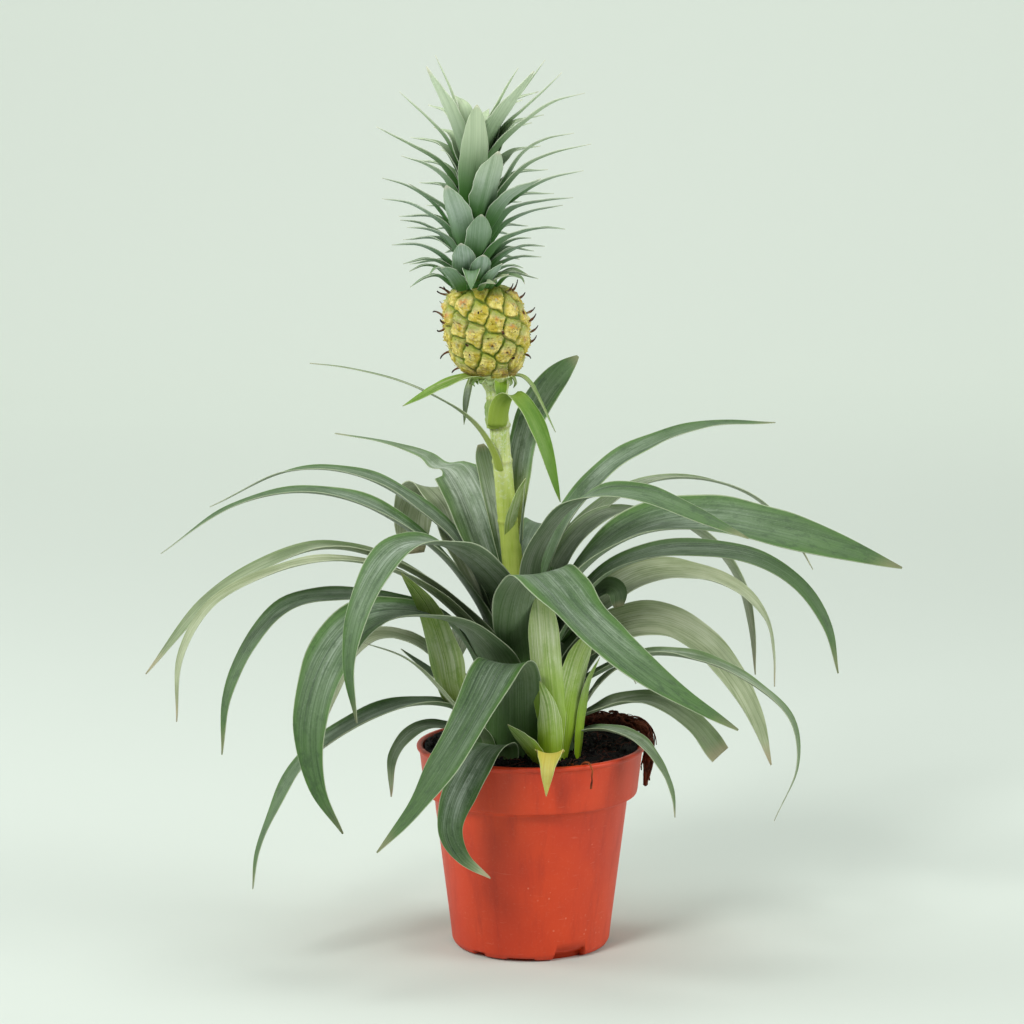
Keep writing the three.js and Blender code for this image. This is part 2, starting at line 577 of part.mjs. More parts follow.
// Leaf i of the crown: low leaves are short and spread out, high ones long and upright.
function crownLeaf(i) {
  const t = i / (crownLeaves - 1);
  const bearing = i * goldenAngle + 20;
  const length = lerp(lowLeafLength, topLeafLength, Math.pow(t, 0.6));
  const startLean = lerp(58, 4, Math.pow(t, 0.7));
  const endLean = lerp(100, 40, Math.pow(t, 1.5));
  const foot = lerp(crownFoot + 2, crownFoot + crownCoreHeight - 5, t);
  const place = around(lerp(5.4, 2.6, t), bearing, foot, lerp(-18, -15, t));
  const points = [];
  const steps = 8;
  for (let k = 0; k <= steps; k++) {
    points.push(place.clone());
    const lean = radians(lerp(startLean, endLean, Math.pow(k / steps, 1.3)));
    place.x += ((Math.sin(lean) * length) / steps) * Math.cos(radians(bearing));
    place.y += ((Math.sin(lean) * length) / steps) * Math.sin(radians(bearing));
    place.z += (Math.cos(lean) * length) / steps;
  }
  return {
    bearing,
    heading: bearing,
    ringRadius: 5,
    points,
    width: lerp(9, 14.5, t),
    baseShare: 0.85,
    narrowing: 0.3,
    openness: 0.7,
    thickness: crownLeafThickness,
    stations: 4,
    across: [-1, 0, 1],
  };
}

function makeCrown() {
  const core = [
    [0, crownFoot + crownCoreHeight],
    [4, crownFoot + crownCoreHeight - 6],
    [7, crownFoot + 14],
    [8, crownFoot + 2],
    [4, crownFoot + gap],
    [0, crownFoot + gap],
  ];
  let crown = toSolid(turned(core.reverse(), 10).translate(-17.5, 0, 0));
  for (let i = 0; i < crownLeaves; i++) {
    crown = crown.add(leafSolid(crownLeaf(i)));
  }
  return largest(crown.subtract(makeFruit(gap)));
}

// ---- the plant ----

const plant = new THREE.Group();
const rooms = []; // the space that each placed piece needs, its gap included

function addMesh(name, geometry, look) {
  const mesh = new THREE.Mesh(geometry, new THREE.MeshStandardMaterial(look));
  mesh.name = name;
  plant.add(mesh);
}

function boxesMeet(a, b) {
  return [0, 1, 2].every((k) => a.min[k] < b.max[k] && b.min[k] < a.max[k]);
}

// Adds a solid, less the room of the pieces that are already there. The largest piece is kept.
function addSolid(name, solid, room, look) {
  const near = rooms.filter((other) => boxesMeet(solid.boundingBox(), other.boundingBox()));
  const taken = near.filter((other) => solid.intersect(other).volume() > 0);
  const shape = taken.reduce((rest, other) => rest.subtract(other), solid);
  addMesh(name, toGeometry(largest(shape)), look);
  rooms.push(room);
}

addMesh("pot", makePot(), potRed);
addMesh("soil", toGeometry(makeSoil()), peatBrown);
addMesh("root_strand", makeRootStrand(), rootBrown);
addMesh("root_tuft", toGeometry(makeRootTuft()), rootBrown);
addSolid("stem", stemSolid(0), stemSolid(gap), stalkGreen);

for (const row of rosette) {
  const leaf = rosetteLeaf(row);
  addSolid(row.name, leafSolid(leaf), leafSolid(leaf, gap), leafGreen);
}
for (const row of offsetLeaves) {
  const leaf = freeLeaf(row);
  addSolid(row.name, leafSolid(leaf), leafSolid(leaf, gap), freshGreen);
}
rooms.push(makeFruit(gap)); // the stalk's leaves stay clear of the fruit that comes later
for (const row of stalkLeaves) {
  const leaf = freeLeaf(row);
  addSolid(row.name, leafSolid(leaf), leafSolid(leaf, gap), paleGreen);
}

addMesh("fruit", toGeometry(makeFruit(0)), fruitYellow);
addMesh("crown", toGeometry(makeCrown()), crownGreen);

export default plant;
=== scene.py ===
# A young pineapple plant with one small fruit, in a round nursery pot.
# Metres, +Z up. The origin is the middle of the pot's underside, and the front faces -Y.
import math

import bpy
import numpy as np
from mathutils import Euler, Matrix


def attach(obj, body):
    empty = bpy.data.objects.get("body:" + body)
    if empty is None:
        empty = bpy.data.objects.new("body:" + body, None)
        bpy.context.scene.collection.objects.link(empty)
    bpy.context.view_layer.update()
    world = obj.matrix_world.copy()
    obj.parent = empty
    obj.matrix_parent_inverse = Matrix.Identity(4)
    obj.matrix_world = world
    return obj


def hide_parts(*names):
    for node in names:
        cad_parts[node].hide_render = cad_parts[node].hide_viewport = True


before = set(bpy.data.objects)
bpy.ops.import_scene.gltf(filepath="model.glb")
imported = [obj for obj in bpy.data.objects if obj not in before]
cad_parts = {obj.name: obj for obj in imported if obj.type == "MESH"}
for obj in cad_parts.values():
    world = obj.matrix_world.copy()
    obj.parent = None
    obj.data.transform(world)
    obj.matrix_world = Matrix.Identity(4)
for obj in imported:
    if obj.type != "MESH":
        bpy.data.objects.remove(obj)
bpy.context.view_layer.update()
random = np.random.default_rng(11)
mm = 0.001


def lerp(a, b, t):  # the value at the share t of the straight way from a to b
    return a + (b - a) * t


def smooth(t):  # 0 below 0, 1 above 1, and 3t^2 - 2t^3 between
    t = np.clip(t, 0.0, 1.0)
    return t * t * (3.0 - 2.0 * t)


def unit(v):  # each vector divided by its own length
    return v / np.linalg.norm(v, axis=-1, keepdims=True)


def circle(count):  # bearings spread evenly round a full turn, in radians
    return np.arange(count) * 2 * np.pi / count


def polar(radius, a, z, x=0.0):
    # the places at the bearings a and the given distances from the upright line through x
    return np.stack(np.broadcast_arrays(x + radius * np.cos(a), radius * np.sin(a), z), -1)


def turned(side, up, a):
    # the direction at the angle a on the way from side to up: side times cos a plus up times sin a
    return side * np.cos(a)[..., None] + up * np.sin(a)[..., None]


def ripple(t, seed, waves=3, size=1.0):
    # a sum of sine waves with chance lengths and starts, the short ones lower
    own = np.random.default_rng(seed)
    speed, start = own.uniform(0.6, 1.4, waves), own.uniform(0.0, 6.28, waves)
    order = np.arange(1, waves + 1)
    return size * (np.sin(np.asarray(t)[..., None] * speed * order + start) / order).sum(-1)


def denseCurve(points, steps=40):
    # a Catmull-Rom spline whose knots are apart by the square root of the chord
    points = np.asarray(points, float)
    p = np.vstack([2 * points[0] - points[1], points, 2 * points[-1] - points[-2]])
    d = np.sqrt(np.linalg.norm(np.diff(p, axis=0), axis=1))[:, None]
    p0, p1, p2, p3 = p[:-3], p[1:-2], p[2:-1], p[3:]
    d0, d1, d2 = d[:-2], d[1:-1], d[2:]
    m1 = ((p1 - p0) / d0 - (p2 - p0) / (d0 + d1) + (p2 - p1) / d1) * d1
    m2 = ((p2 - p1) / d1 - (p3 - p1) / (d1 + d2) + (p3 - p2) / d2) * d1
    s = np.linspace(0, 1, steps, endpoint=False)[None, :, None]
    p1, p2, m1, m2 = p1[:, None], p2[:, None], m1[:, None], m2[:, None]
    line = p1 + m1 * s + (3 * (p2 - p1) - 2 * m1 - m2) * s ** 2 + (2 * (p1 - p2) + m1 + m2) * s ** 3
    return np.vstack([line.reshape(-1, 3), points[-1]])


def alongCurve(points, v):
    # the points at the shares v of the curve's length, its unit tangents there, and its length
    line = denseCurve(points)
    run = np.append(0.0, np.cumsum(np.linalg.norm(np.diff(line, axis=0), axis=1)))
    at = np.stack([np.interp(v * run[-1], run, line[:, k]) for k in range(3)], -1)
    return at, unit(np.gradient(at, axis=0)), run[-1]


def roundedCorners(corners, cut, steps=5):
    # an outline whose corners are replaced by parabolas that start and end "cut" from them
    corners = np.asarray(corners, float)
    middle = corners[1:-1]
    before, after = corners[:-2] - middle, corners[2:] - middle
    reach = np.minimum(cut, 0.45 * np.minimum(np.linalg.norm(before, axis=1), np.linalg.norm(after, axis=1)))
    start = (middle + unit(before) * reach[:, None])[:, None]
    end = (middle + unit(after) * reach[:, None])[:, None]
    s = np.linspace(0, 1, steps)[None, :, None]
    arc = start * (1 - s) ** 2 + middle[:, None] * 2 * s * (1 - s) + end * s ** 2
    return np.vstack([corners[:1], arc.reshape(-1, corners.shape[1]), corners[-1:]])


def tube(points, radius, sides=6):
    # rings of the given radii round many polylines, points[copy, step]; each ring stands square to
    # its line, and starts at the direction that is also square to one fixed, slanting line
    tangent = unit(np.gradient(points, axis=1))
    across = unit(np.cross(tangent, [0.31, 0.17, 0.93]))
    up = np.cross(tangent, across)
    r = np.broadcast_to(radius, points.shape[:2])[..., None, None]
    return points[:, :, None] + r * turned(across[:, :, None], up[:, :, None], circle(sides))


def shell(points, caps="strip", **values):
    # the closed skin of one or many tubes, points[copy, ring, place]: quads join neighbours, and
    # each end is closed by a fan, or by a strip between the two halves of a flat ring
    points = points if points.ndim == 4 else points[None]
    copies, rings, count = points.shape[:3]
    values = {k: np.broadcast_to(v, points.shape[:3]) for k, v in values.items()}
    index = np.arange(copies * rings * count).reshape(copies, rings, count)
    turn = np.roll(index, -1, 2)
    quads = [np.stack([index[:, :-1], turn[:, :-1], turn[:, 1:], index[:, 1:]], -1).reshape(-1, 4)]
    tris = np.zeros((0, 3), int)
    verts = points.reshape(-1, 3)
    data = {k: v.reshape(-1) for k, v in values.items()}
    if caps == "fan":
        centre = len(verts) + np.arange(copies * 2).reshape(copies, 2, 1) + np.zeros((1, 1, count), int)
        low = np.stack([turn[:, 0], index[:, 0], centre[:, 0]], -1)
        high = np.stack([index[:, -1], turn[:, -1], centre[:, 1]], -1)
        tris = np.concatenate([low, high]).reshape(-1, 3)
        verts = np.vstack([verts, points[:, [0, -1]].mean(2).reshape(-1, 3)])
        data = {k: np.append(data[k], values[k][:, [0, -1]].mean(2).reshape(-1)) for k in data}
    else:
        j = np.arange(count // 2 - 1)
        k = count - 1 - j
        low, high = index[:, 0], index[:, -1]
        quads.append(np.stack([low[:, j], low[:, k], low[:, k - 1], low[:, j + 1]], -1).reshape(-1, 4))
        quads.append(np.stack([high[:, j], high[:, j + 1], high[:, k - 1], high[:, k]], -1).reshape(-1, 4))
    quads = np.concatenate(quads)
    faces = np.vstack([quads[:, [0, 1, 2]], quads[:, [0, 2, 3]], tris])
    volume = np.einsum("ij,ij->i", verts[faces[:, 0]], np.cross(verts[faces[:, 1]], verts[faces[:, 2]])).sum()
    if volume < 0:
        quads, tris = quads[:, ::-1], tris[:, ::-1]
    return verts, quads, tris, data


def piece(name, shells, finish, slot, *nodes):
    # one object from several shells, with their values as attributes on its points
    shift = np.append(0, np.cumsum([len(s[0]) for s in shells]))
    verts = np.vstack([s[0] for s in shells])
    quads = np.vstack([s[1] + n for s, n in zip(shells, shift)])
    tris = np.vstack([s[2] + n for s, n in zip(shells, shift)])
    mesh = bpy.data.meshes.new(name)
    mesh.vertices.add(len(verts))
    mesh.vertices.foreach_set("co", verts.astype(np.float32).ravel())
    mesh.loops.add(quads.size + tris.size)
    mesh.loops.foreach_set("vertex_index", np.append(quads.ravel(), tris.ravel()).astype(np.int32))
    total = np.append(np.full(len(quads), 4), np.full(len(tris), 3))
    mesh.polygons.add(len(total))
    mesh.polygons.foreach_set("loop_start", np.append(0, np.cumsum(total)[:-1]).astype(np.int32))
    mesh.update(calc_edges=True)
    for key in shells[0][3]:
        layer = mesh.attributes.new(key, "FLOAT", "POINT")
        layer.data.foreach_set("value", np.concatenate([s[3][key] for s in shells]).astype(np.float32))
    mesh.validate()
    mesh.shade_smooth()
    obj = bpy.data.objects.new(name, mesh)
    bpy.context.scene.collection.objects.link(obj)
    mesh.materials.append(finish.material)
    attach(obj, "root")
    if nodes:
        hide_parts(*nodes)
    return obj


def colour(red, green, blue):
    # a screen colour of 0 to 255, in the linear light that the shader works in
    c = np.array([red, green, blue]) / 255.0
    c = np.where(c <= 0.04045, c / 12.92, ((c + 0.055) / 1.055) ** 2.4)
    return (*c, 1.0)


def palette(**shades):
    # screen colours by name, each as linear light
    return {name: colour(*shade) for name, shade in shades.items()}


class Value:
    # one output socket; an operator adds the Math node that works the new value out
    def __init__(self, finish, socket):
        self.finish = finish
        self.socket = socket

    def math(self, operation, *terms):  # the outcome of that operation on the terms
        return self.finish.node("Math", {"operation": operation}, dict(enumerate(terms)))

    def __add__(self, other):
        return self.math("ADD", self, other)

    __radd__ = __add__

    def __sub__(self, other):
        return self.math("SUBTRACT", self, other)

    def __rsub__(self, other):
        return self.math("SUBTRACT", other, self)

    def __mul__(self, other):
        return self.math("MULTIPLY", self, other)

    def __abs__(self):
        return self.math("ABSOLUTE", self)

    def between(self, low, high):
        # 0 below low, 1 above high, smooth between; low may be the larger
        ends = {0: self, 1: low, 2: high, 3: 0.0, 4: 1.0}
        return self.finish.node("MapRange", {"interpolation_type": "SMOOTHSTEP"}, ends)


class Finish:
    # a material: its constants stand on the shader's own sockets
    def __init__(self, name, constants):
        self.material = bpy.data.materials.new(name)
        self.material.use_nodes = True
        self.tree = self.material.node_tree
        self.shader = self.tree.nodes["Principled BSDF"]
        for key, value in constants.items():
            self.shader.inputs[key].default_value = value

    def node(self, kind, settings, inputs, output=0):
        # a new node: values among its inputs are linked, and plain numbers and colours are set
        made = self.tree.nodes.new("ShaderNode" + kind)
        for key, value in settings.items():
            setattr(made, key, value)
        for key, value in inputs.items():
            if isinstance(value, Value):
                self.tree.links.new(value.socket, made.inputs[key])
            else:
                made.inputs[key].default_value = value
        return Value(self, made.outputs[output])

    def attributes(self, *names):  # the values that the mesh carries on its points
        return [self.node("Attribute", {"attribute_name": name}, {}, "Fac") for name in names]

    def place(self):  # the position in metres
        return self.node("TexCoord", {}, {}, "Object")

    def axis(self, k):  # the position's x, y or z
        return self.node("SeparateXYZ", {}, {0: self.place()}, k)

    def vector(self, x, y, z):  # three values as one place
        return self.node("CombineXYZ", {}, {0: x, 1: y, 2: z})

    def noise(self, vector, scale, detail=2.0, roughness=0.5):
        # a sum of smooth clouds, each half as wide as the last and weaker by the roughness
        inputs = {"Vector": vector, "Scale": scale, "Detail": detail, "Roughness": roughness}
        return self.node("TexNoise", {}, inputs, "Fac")

    def cells(self, vector, scale):  # the distance to the nearest of many strewn points
        return self.node("TexVoronoi", {}, {"Vector": vector, "Scale": scale}, "Distance")

    def mix(self, first, second, share):  # first times 1 - share, plus second times share
        return self.node("Mix", {"data_type": "RGBA"}, {0: share, 6: first, 7: second}, 2)

    def coats(self, base, look, *coats):
        # one colour of the look after another hides its own share of the colour so far
        for name, share in coats:
            base = self.mix(base, look[name], share)
        return base

    def bump(self, height, strength, distance):
        # the direction square to a surface raised by the height times the distance
        return self.node("Bump", {}, {"Height": height, "Strength": strength, "Distance": distance})

    def feed(self, **links):
        # links each value to the shader's socket of the same name
        sockets = {"base": "Base Color", "rough": "Roughness", "normal": "Normal", "glow": "Emission Color"}
        for key, value in links.items():
            self.tree.links.new(value.socket, self.shader.inputs[sockets[key]])
        return self


stageLook = {
    **palette(shade=(208, 217, 208), glow=(151, 157, 149), black=(0, 0, 0)),
    "halfWidth": 3.6, "front": -2.8, "back": 3.0, "height": 3.2, "bend": 0.9,
    "cloud": 0.01, "floorShade": 0.86,  # the paper's unevenness, and its shade under the plant
    "floorFade": (0.6, -0.9), "glowFade": (0.35, 2.25),  # where each begins and is full, along Y
}


def makeStage():
    # a floor that turns up into a backdrop through a quarter circle
    s = stageLook
    a = np.linspace(0, np.pi / 2, 24)
    y = np.concatenate([[s["front"]], s["back"] - s["bend"] + s["bend"] * np.sin(a), [s["back"]]])
    z = np.concatenate([[0.0], s["bend"] - s["bend"] * np.cos(a), [s["height"]]])
    verts = [(side * s["halfWidth"], j, k) for side in (-1, 1) for j, k in zip(y, z)]
    n = len(y)
    faces = [(n + k, n + k + 1, k + 1, k) for k in range(n - 1)]
    mesh = bpy.data.meshes.new("stage")
    mesh.from_pydata(verts, [], faces)
    mesh.shade_smooth()
    obj = bpy.data.objects.new("stage", mesh)
    bpy.context.scene.collection.objects.link(obj)
    # the lamps reach it less and less, so its far part is lit from within
    paper = Finish("paperBackdrop", {"Roughness": 0.95, "Specular IOR Level": 0.1, "Emission Strength": 1.0})
    shade = np.array(s["shade"])
    cloud, y = paper.noise(paper.place(), 2.0), paper.axis(1)
    pale = paper.mix(tuple(shade * (1 - s["cloud"])), tuple(shade * (1 + s["cloud"])), cloud)
    lit = paper.mix(pale, tuple(shade * s["floorShade"]), y.between(*s["floorFade"]))
    glow = paper.mix(s["black"], s["glow"], y.between(*s["glowFade"]))
    mesh.materials.append(paper.feed(base=lit, glow=glow).material)


lightLook = {
    "sky": (0.97, 1.0, 0.98, 1.0), "skyStrength": 0.26,
    "lamps": [  # name, place, height of the point that it faces, width in metres and power in watts
        ("keyLight", (-1.0, -1.5, 1.7), 0.2, 0.7, 32),
        ("rightLight", (1.5, -0.5, 0.7), 0.15, 1.0, 15),
        ("leftLight", (-1.5, 0.3, 0.8), 0.15, 1.0, 11),
        ("topLight", (0.1, 0.2, 1.9), 0.2, 0.9, 12),
    ],
}


def makeLight():
    # a weak even sky and round lamps; a lamp's turn follows from the direction away from its aim:
    # the tilt is the arc cosine of its height, and the turn is its bearing and a quarter circle
    world = bpy.data.worlds.new("softRoom")
    bpy.context.scene.world = world
    world.use_nodes = True
    sky = world.node_tree.nodes["Background"]
    sky.inputs["Color"].default_value = lightLook["sky"]
    sky.inputs["Strength"].default_value = lightLook["skyStrength"]
    for name, place, aimHeight, size, power in lightLook["lamps"]:
        lamp = bpy.data.lights.new(name, "AREA")
        lamp.shape = "DISK"
        lamp.size = size
        lamp.energy = power
        obj = bpy.data.objects.new(name, lamp)
        bpy.context.scene.collection.objects.link(obj)
        obj.location = place
        away = unit(np.array(place) - np.array((0.0, 0.0, aimHeight)))
        obj.rotation_euler = Euler((math.acos(away[2]), 0.0, math.atan2(away[1], away[0]) + math.pi / 2))


cameraLook = {"place": (-0.0086, -1.55, 0.44), "tilt": 81.17, "lens": 122.5, "sensor": 36.0, "far": 20.0}


def makeCamera():
    # lower than the crown and tilted down, as far away as the photograph's perspective says
    lens = bpy.data.cameras.new("camera")
    lens.lens = cameraLook["lens"]
    lens.sensor_width = cameraLook["sensor"]
    lens.clip_end = cameraLook["far"]
    obj = bpy.data.objects.new("camera", lens)
    obj.location = cameraLook["place"]
    obj.rotation_euler = (math.radians(cameraLook["tilt"]), 0.0, 0.0)
    bpy.context.scene.collection.objects.link(obj)
    bpy.context.scene.camera = obj
    bpy.context.scene.view_settings.view_transform = "Standard"


print("stage, light and camera")
makeStage()
makeLight()
makeCamera()


potLook = {
    **palette(body=(198, 54, 12), bright=(212, 64, 14), dark=(166, 38, 14), scuff=(222, 140, 112)),
    "outline": [  # radius and height in mm, from the underside up the outside and down the inside
        (1, 0.7), (30.2, 0.7), (31, 0), (32.2, 0), (34.8, 0.8), (36, 3), (44, 68.8), (45.2, 70.3),
        (48.2, 70.8), (48.6, 72.4), (50.7, 90.4), (51.9, 91.2), (52, 92.5), (51.2, 93), (49.8, 93),
        (49.1, 92.2), (46.8, 73), (44.6, 71.6), (42.4, 70.4), (34.5, 4.6), (32, 2.4), (1, 2.4),
    ],
    "rounding": 0.7,
    "walls": [((36.0, 3.9), (44.0, 68.0)), ((48.7, 73.4), (50.6, 89.6))],  # the long outer walls
    "notches": [  # bearing in degrees, width and height in mm
        (300, 16.0, 5.2), (262, 13.0, 1.6), (228, 7.0, 2.6), (178, 9.0, 4.0),
        (136, 9.0, 4.0), (90, 9.0, 4.0), (45, 9.0, 4.0), (2, 9.0, 4.0),
    ],
    "footRadius": 35.0, "footInside": 31.4, "footTop": 8.0,  # the part of the outline that is notched
}


def potFinish():
    # moulded plastic: faint clouds, upright streaks of painted shade, and pale specks where the pot was
    # handled
    f = Finish("terracottaPlastic", {"Specular IOR Level": 0.5})
    p, x, y, z = f.place(), f.axis(0), f.axis(1), f.axis(2)
    cloud = f.noise(p, 28.0, 3.0)
    uprightStreak = f.noise(f.vector(x * 60.0, y * 60.0, z * 9.0), 2.0, 5.0, 0.7)
    speck = f.cells(p, 260.0).between(0.16, 0.06) * f.noise(p, 40.0, 1.0).between(0.5, 0.62)
    scratch = f.noise(f.vector(x * 20.0, y * 20.0, z * 160.0), 6.0, 2.0, 0.6).between(0.66, 0.74)
    base = f.coats(
        potLook["body"], potLook,
        ("bright", cloud.between(0.35, 0.75)),
        # painted shade: upright streaks darkened towards the dark red
        ("dark", uprightStreak.between(0.46, 0.75) * 0.5),
        ("scuff", f.noise(p, 700.0, 3.0, 0.7).between(0.52, 0.8) * 0.12),
        ("scuff", speck * 0.5),
        ("scuff", scratch * 0.16),
    )
    grain = f.noise(p, 900.0, 2.0)
    height = grain * 0.25 + uprightStreak * 0.5 + scratch * 0.4
    rough = 0.42 + uprightStreak * 0.16 + speck * 0.2
    return f.feed(base=base, rough=rough, normal=f.bump(height, 0.16, 0.0006))


def potSurface(sides=360):
    # a profile turned round the axis; near each notch's bearing the foot is lifted, by a smooth
    # step of half the notch's width less the distance along the foot's circle
    s = potLook
    outline = roundedCorners(s["outline"], s["rounding"])
    walls = np.linspace(0, 1, 14)[1:-1, None]
    for low, high in s["walls"]:  # more rings along the two long outer walls
        at = np.argmax((outline[:, 0] > low[0] - 0.2) & (outline[:, 1] > low[1] - 0.2))
        outline = np.insert(outline, at, lerp(np.array(low), np.array(high), walls), axis=0)
    a = circle(sides)
    radius, height = outline[:, :1], outline[:, 1:]
    lift = np.zeros(sides)
    for bearing, width, tall in s["notches"]:
        turn = np.abs((np.degrees(a) - bearing + 180) % 360 - 180) * np.pi / 180 * s["footRadius"]
        lift = np.maximum(lift, tall * smooth((width / 2 - turn) / 0.9 + 0.5))
    outside = (np.arange(len(outline)) < np.argmax(outline[:, 1] > s["footTop"]))[:, None]
    foot = outside & (radius > s["footInside"])
    height = np.where(foot, np.maximum(height, lift), height)
    return shell(polar(radius, a, height) * mm, "fan")


soilLook = {
    **palette(peat=(9, 6, 5), dry=(34, 22, 16), wet=(3, 2, 2), fleck=(150, 132, 112)),
    "edge": 90.2, "crown": 91.6, "backRise": 2.4,  # heights at the rim and middle, in mm
    "wall": [(48.2, 80.0), (46.0, 74.0), (41.6, 70.0), (33.4, 6.0), (30.0, 2.8), (2.0, 2.8)],  # radius, z
    "crumbs": 620, "crumbField": (46, 0.22), "crumbSize": (0.35, 1.25),
    "fibres": 150, "fibreField": (44, 0.25), "fibreBend": 1.6, "fibreLength": (4.0, 15.0),
    "fibreRadius": (0.08, 0.2), "fibreReach": 45.5,
}


def soilFinish():
    # near-black wet peat that dries brown on its clods, with a few pale flecks
    f = Finish("darkPeat", {"Specular IOR Level": 0.25})
    p = f.place()
    clod = f.noise(p, 240.0, 5.0, 0.65)
    fleck = f.cells(p, 420.0).between(0.12, 0.05) * f.noise(p, 90.0, 1.0).between(0.52, 0.62)
    base = f.coats(
        soilLook["wet"], soilLook,
        ("peat", clod.between(0.3, 0.6)), ("dry", clod.between(0.58, 0.8) * 0.8), ("fleck", fleck * 0.6),
    )
    return f.feed(base=base, rough=0.75 + clod * 0.2, normal=f.bump(clod, 0.9, 0.0012))


def soilHeight(x, y):
    # a smooth step from the height round the stem to the rim's, and clods: products of two ripples
    edge = soilLook["edge"] + soilLook["backRise"] * smooth((y + 38) / 30)
    dome = lerp(soilLook["crown"], edge, smooth((np.hypot(x, y) - 26) / 21.5))
    clods = ripple(x * 0.55 + y * 0.21, 3, 4) * ripple(y * 0.6 - x * 0.17, 4, 4)
    return dome + 0.55 * clods + 0.35 * ripple(x * 1.7, 5, 3) * ripple(y * 1.9, 6, 3)


def soilSurface(sides=180):
    # rings from the middle of the top out to the pot's wall, then down inside it to the floor
    wall = np.array(soilLook["wall"])
    top = 60  # the rings of the top
    r = np.concatenate([np.linspace(2, 48.3, top), wall[:, 0]])[:, None]
    x, y = r * np.cos(circle(sides)), r * np.sin(circle(sides))
    z = soilHeight(x, y)
    z[top:] = wall[:, 1:]
    return shell(np.stack([x, y, z], -1) * mm, "fan")


def strewn(count, field, inner):
    # chance places, even over the area: the distance is the field times the root of a chance share
    r, turn = field * np.sqrt(random.uniform(inner, 1.0, count)), random.uniform(0, 2 * np.pi, count)
    return r * np.cos(turn), r * np.sin(turn)


def soilCrumbs():
    # small lumps: rings of a lumpy ball, strewn over the dome
    n = soilLook["crumbs"]
    x, y = strewn(n, *soilLook["crumbField"])
    size = random.uniform(*soilLook["crumbSize"], n) ** 1.3
    tilt = np.linspace(0.35, np.pi - 0.35, 4)[:, None]
    lump = 1 + random.uniform(-0.3, 0.3, (n, 4, 6))
    ball = polar(np.sin(tilt), circle(6), np.cos(tilt))
    place = np.stack([x, y, soilHeight(x, y) + 0.1 * size], -1)[:, None, None]
    return shell((place + ball * (lump * size[:, None, None])[..., None]) * mm, "fan")


def soilFibres():
    # thin threads that lie on the soil in loose bends: short steps whose heading turns evenly
    n, bend = soilLook["fibres"], soilLook["fibreBend"]
    x, y = strewn(n, *soilLook["fibreField"])
    heading, bends = random.uniform(0, 2 * np.pi, n), random.uniform(-bend, bend, n)
    length = random.uniform(*soilLook["fibreLength"], n)[:, None]
    t = np.linspace(-0.5, 0.5, 9)
    way = heading[:, None] + bends[:, None] * t
    x = x[:, None] + length * np.cumsum(np.cos(way), 1) / 9
    y = y[:, None] + length * np.cumsum(np.sin(way), 1) / 9
    inside = np.minimum(1.0, soilLook["fibreReach"] / np.hypot(x, y))
    x, y = x * inside, y * inside
    lift = random.uniform(0.1, 1.3, n)[:, None] * (1 - (2 * t) ** 2)
    line = np.stack([x, y, soilHeight(x, y) + 0.35 + lift], -1)
    return shell(tube(line * mm, random.uniform(*soilLook["fibreRadius"], n)[:, None] * mm, 5), "fan")


rootLook = {
    **palette(bark=(88, 42, 26), dark=(36, 16, 10), pale=(112, 62, 40), thread=(74, 52, 44)),
    **palette(strand=(176, 92, 48)),
    "tuft": [  # bearing, distance from the pot's middle, height, half-thickness, in degrees and mm
        (84, 42, 92.6, 1.2), (66, 44, 93.6, 2.2), (54, 47, 95.8, 3.4), (40, 49, 96.8, 3.9),
        (28, 51, 97.2, 3.6), (20, 55.4, 95.6, 3.1), (16, 56.6, 87, 2.8), (15, 55.4, 78, 2.2),
        (15, 54.6, 70, 1.2),
    ],
    "tuftStrands": 90, "tuftStrandRadius": (0.16, 0.75),
    "roots": [  # half-thickness and points, in mm: one over the rim, with a thin side root
        (0.5, [(15, -30, 90.6), (18, -35, 90.8), (21.4, -40.6, 91.6), (24, -44.6, 94.0), (25.6, -46.6, 94.0),
               (26.8, -48.3, 91.2), (26.7, -47.9, 87), (26.2, -47.5, 83)]),
        (0.3, [(20.6, -39.4, 91.4), (17.5, -41.5, 91.0), (13.6, -42.0, 90.2), (10.8, -43.4, 89.2)]),
    ],
}


def rootFinish(pale):
    # brown bark, darker in its grain, with patches of the given colour
    f = Finish("coirFibre", {"Specular IOR Level": 0.2})
    p = f.place()
    grain = f.noise(p, 380.0, 4.0, 0.6)
    patch = f.noise(p, 70.0, 2.0)
    base = f.mix(rootLook["dark"], rootLook["bark"], grain.between(0.32, 0.62))
    base = f.mix(base, pale, patch.between(0.4, 0.66) * 0.7)
    return f.feed(base=base, rough=0.8 + grain * 0.15, normal=f.bump(grain, 0.7, 0.0008))


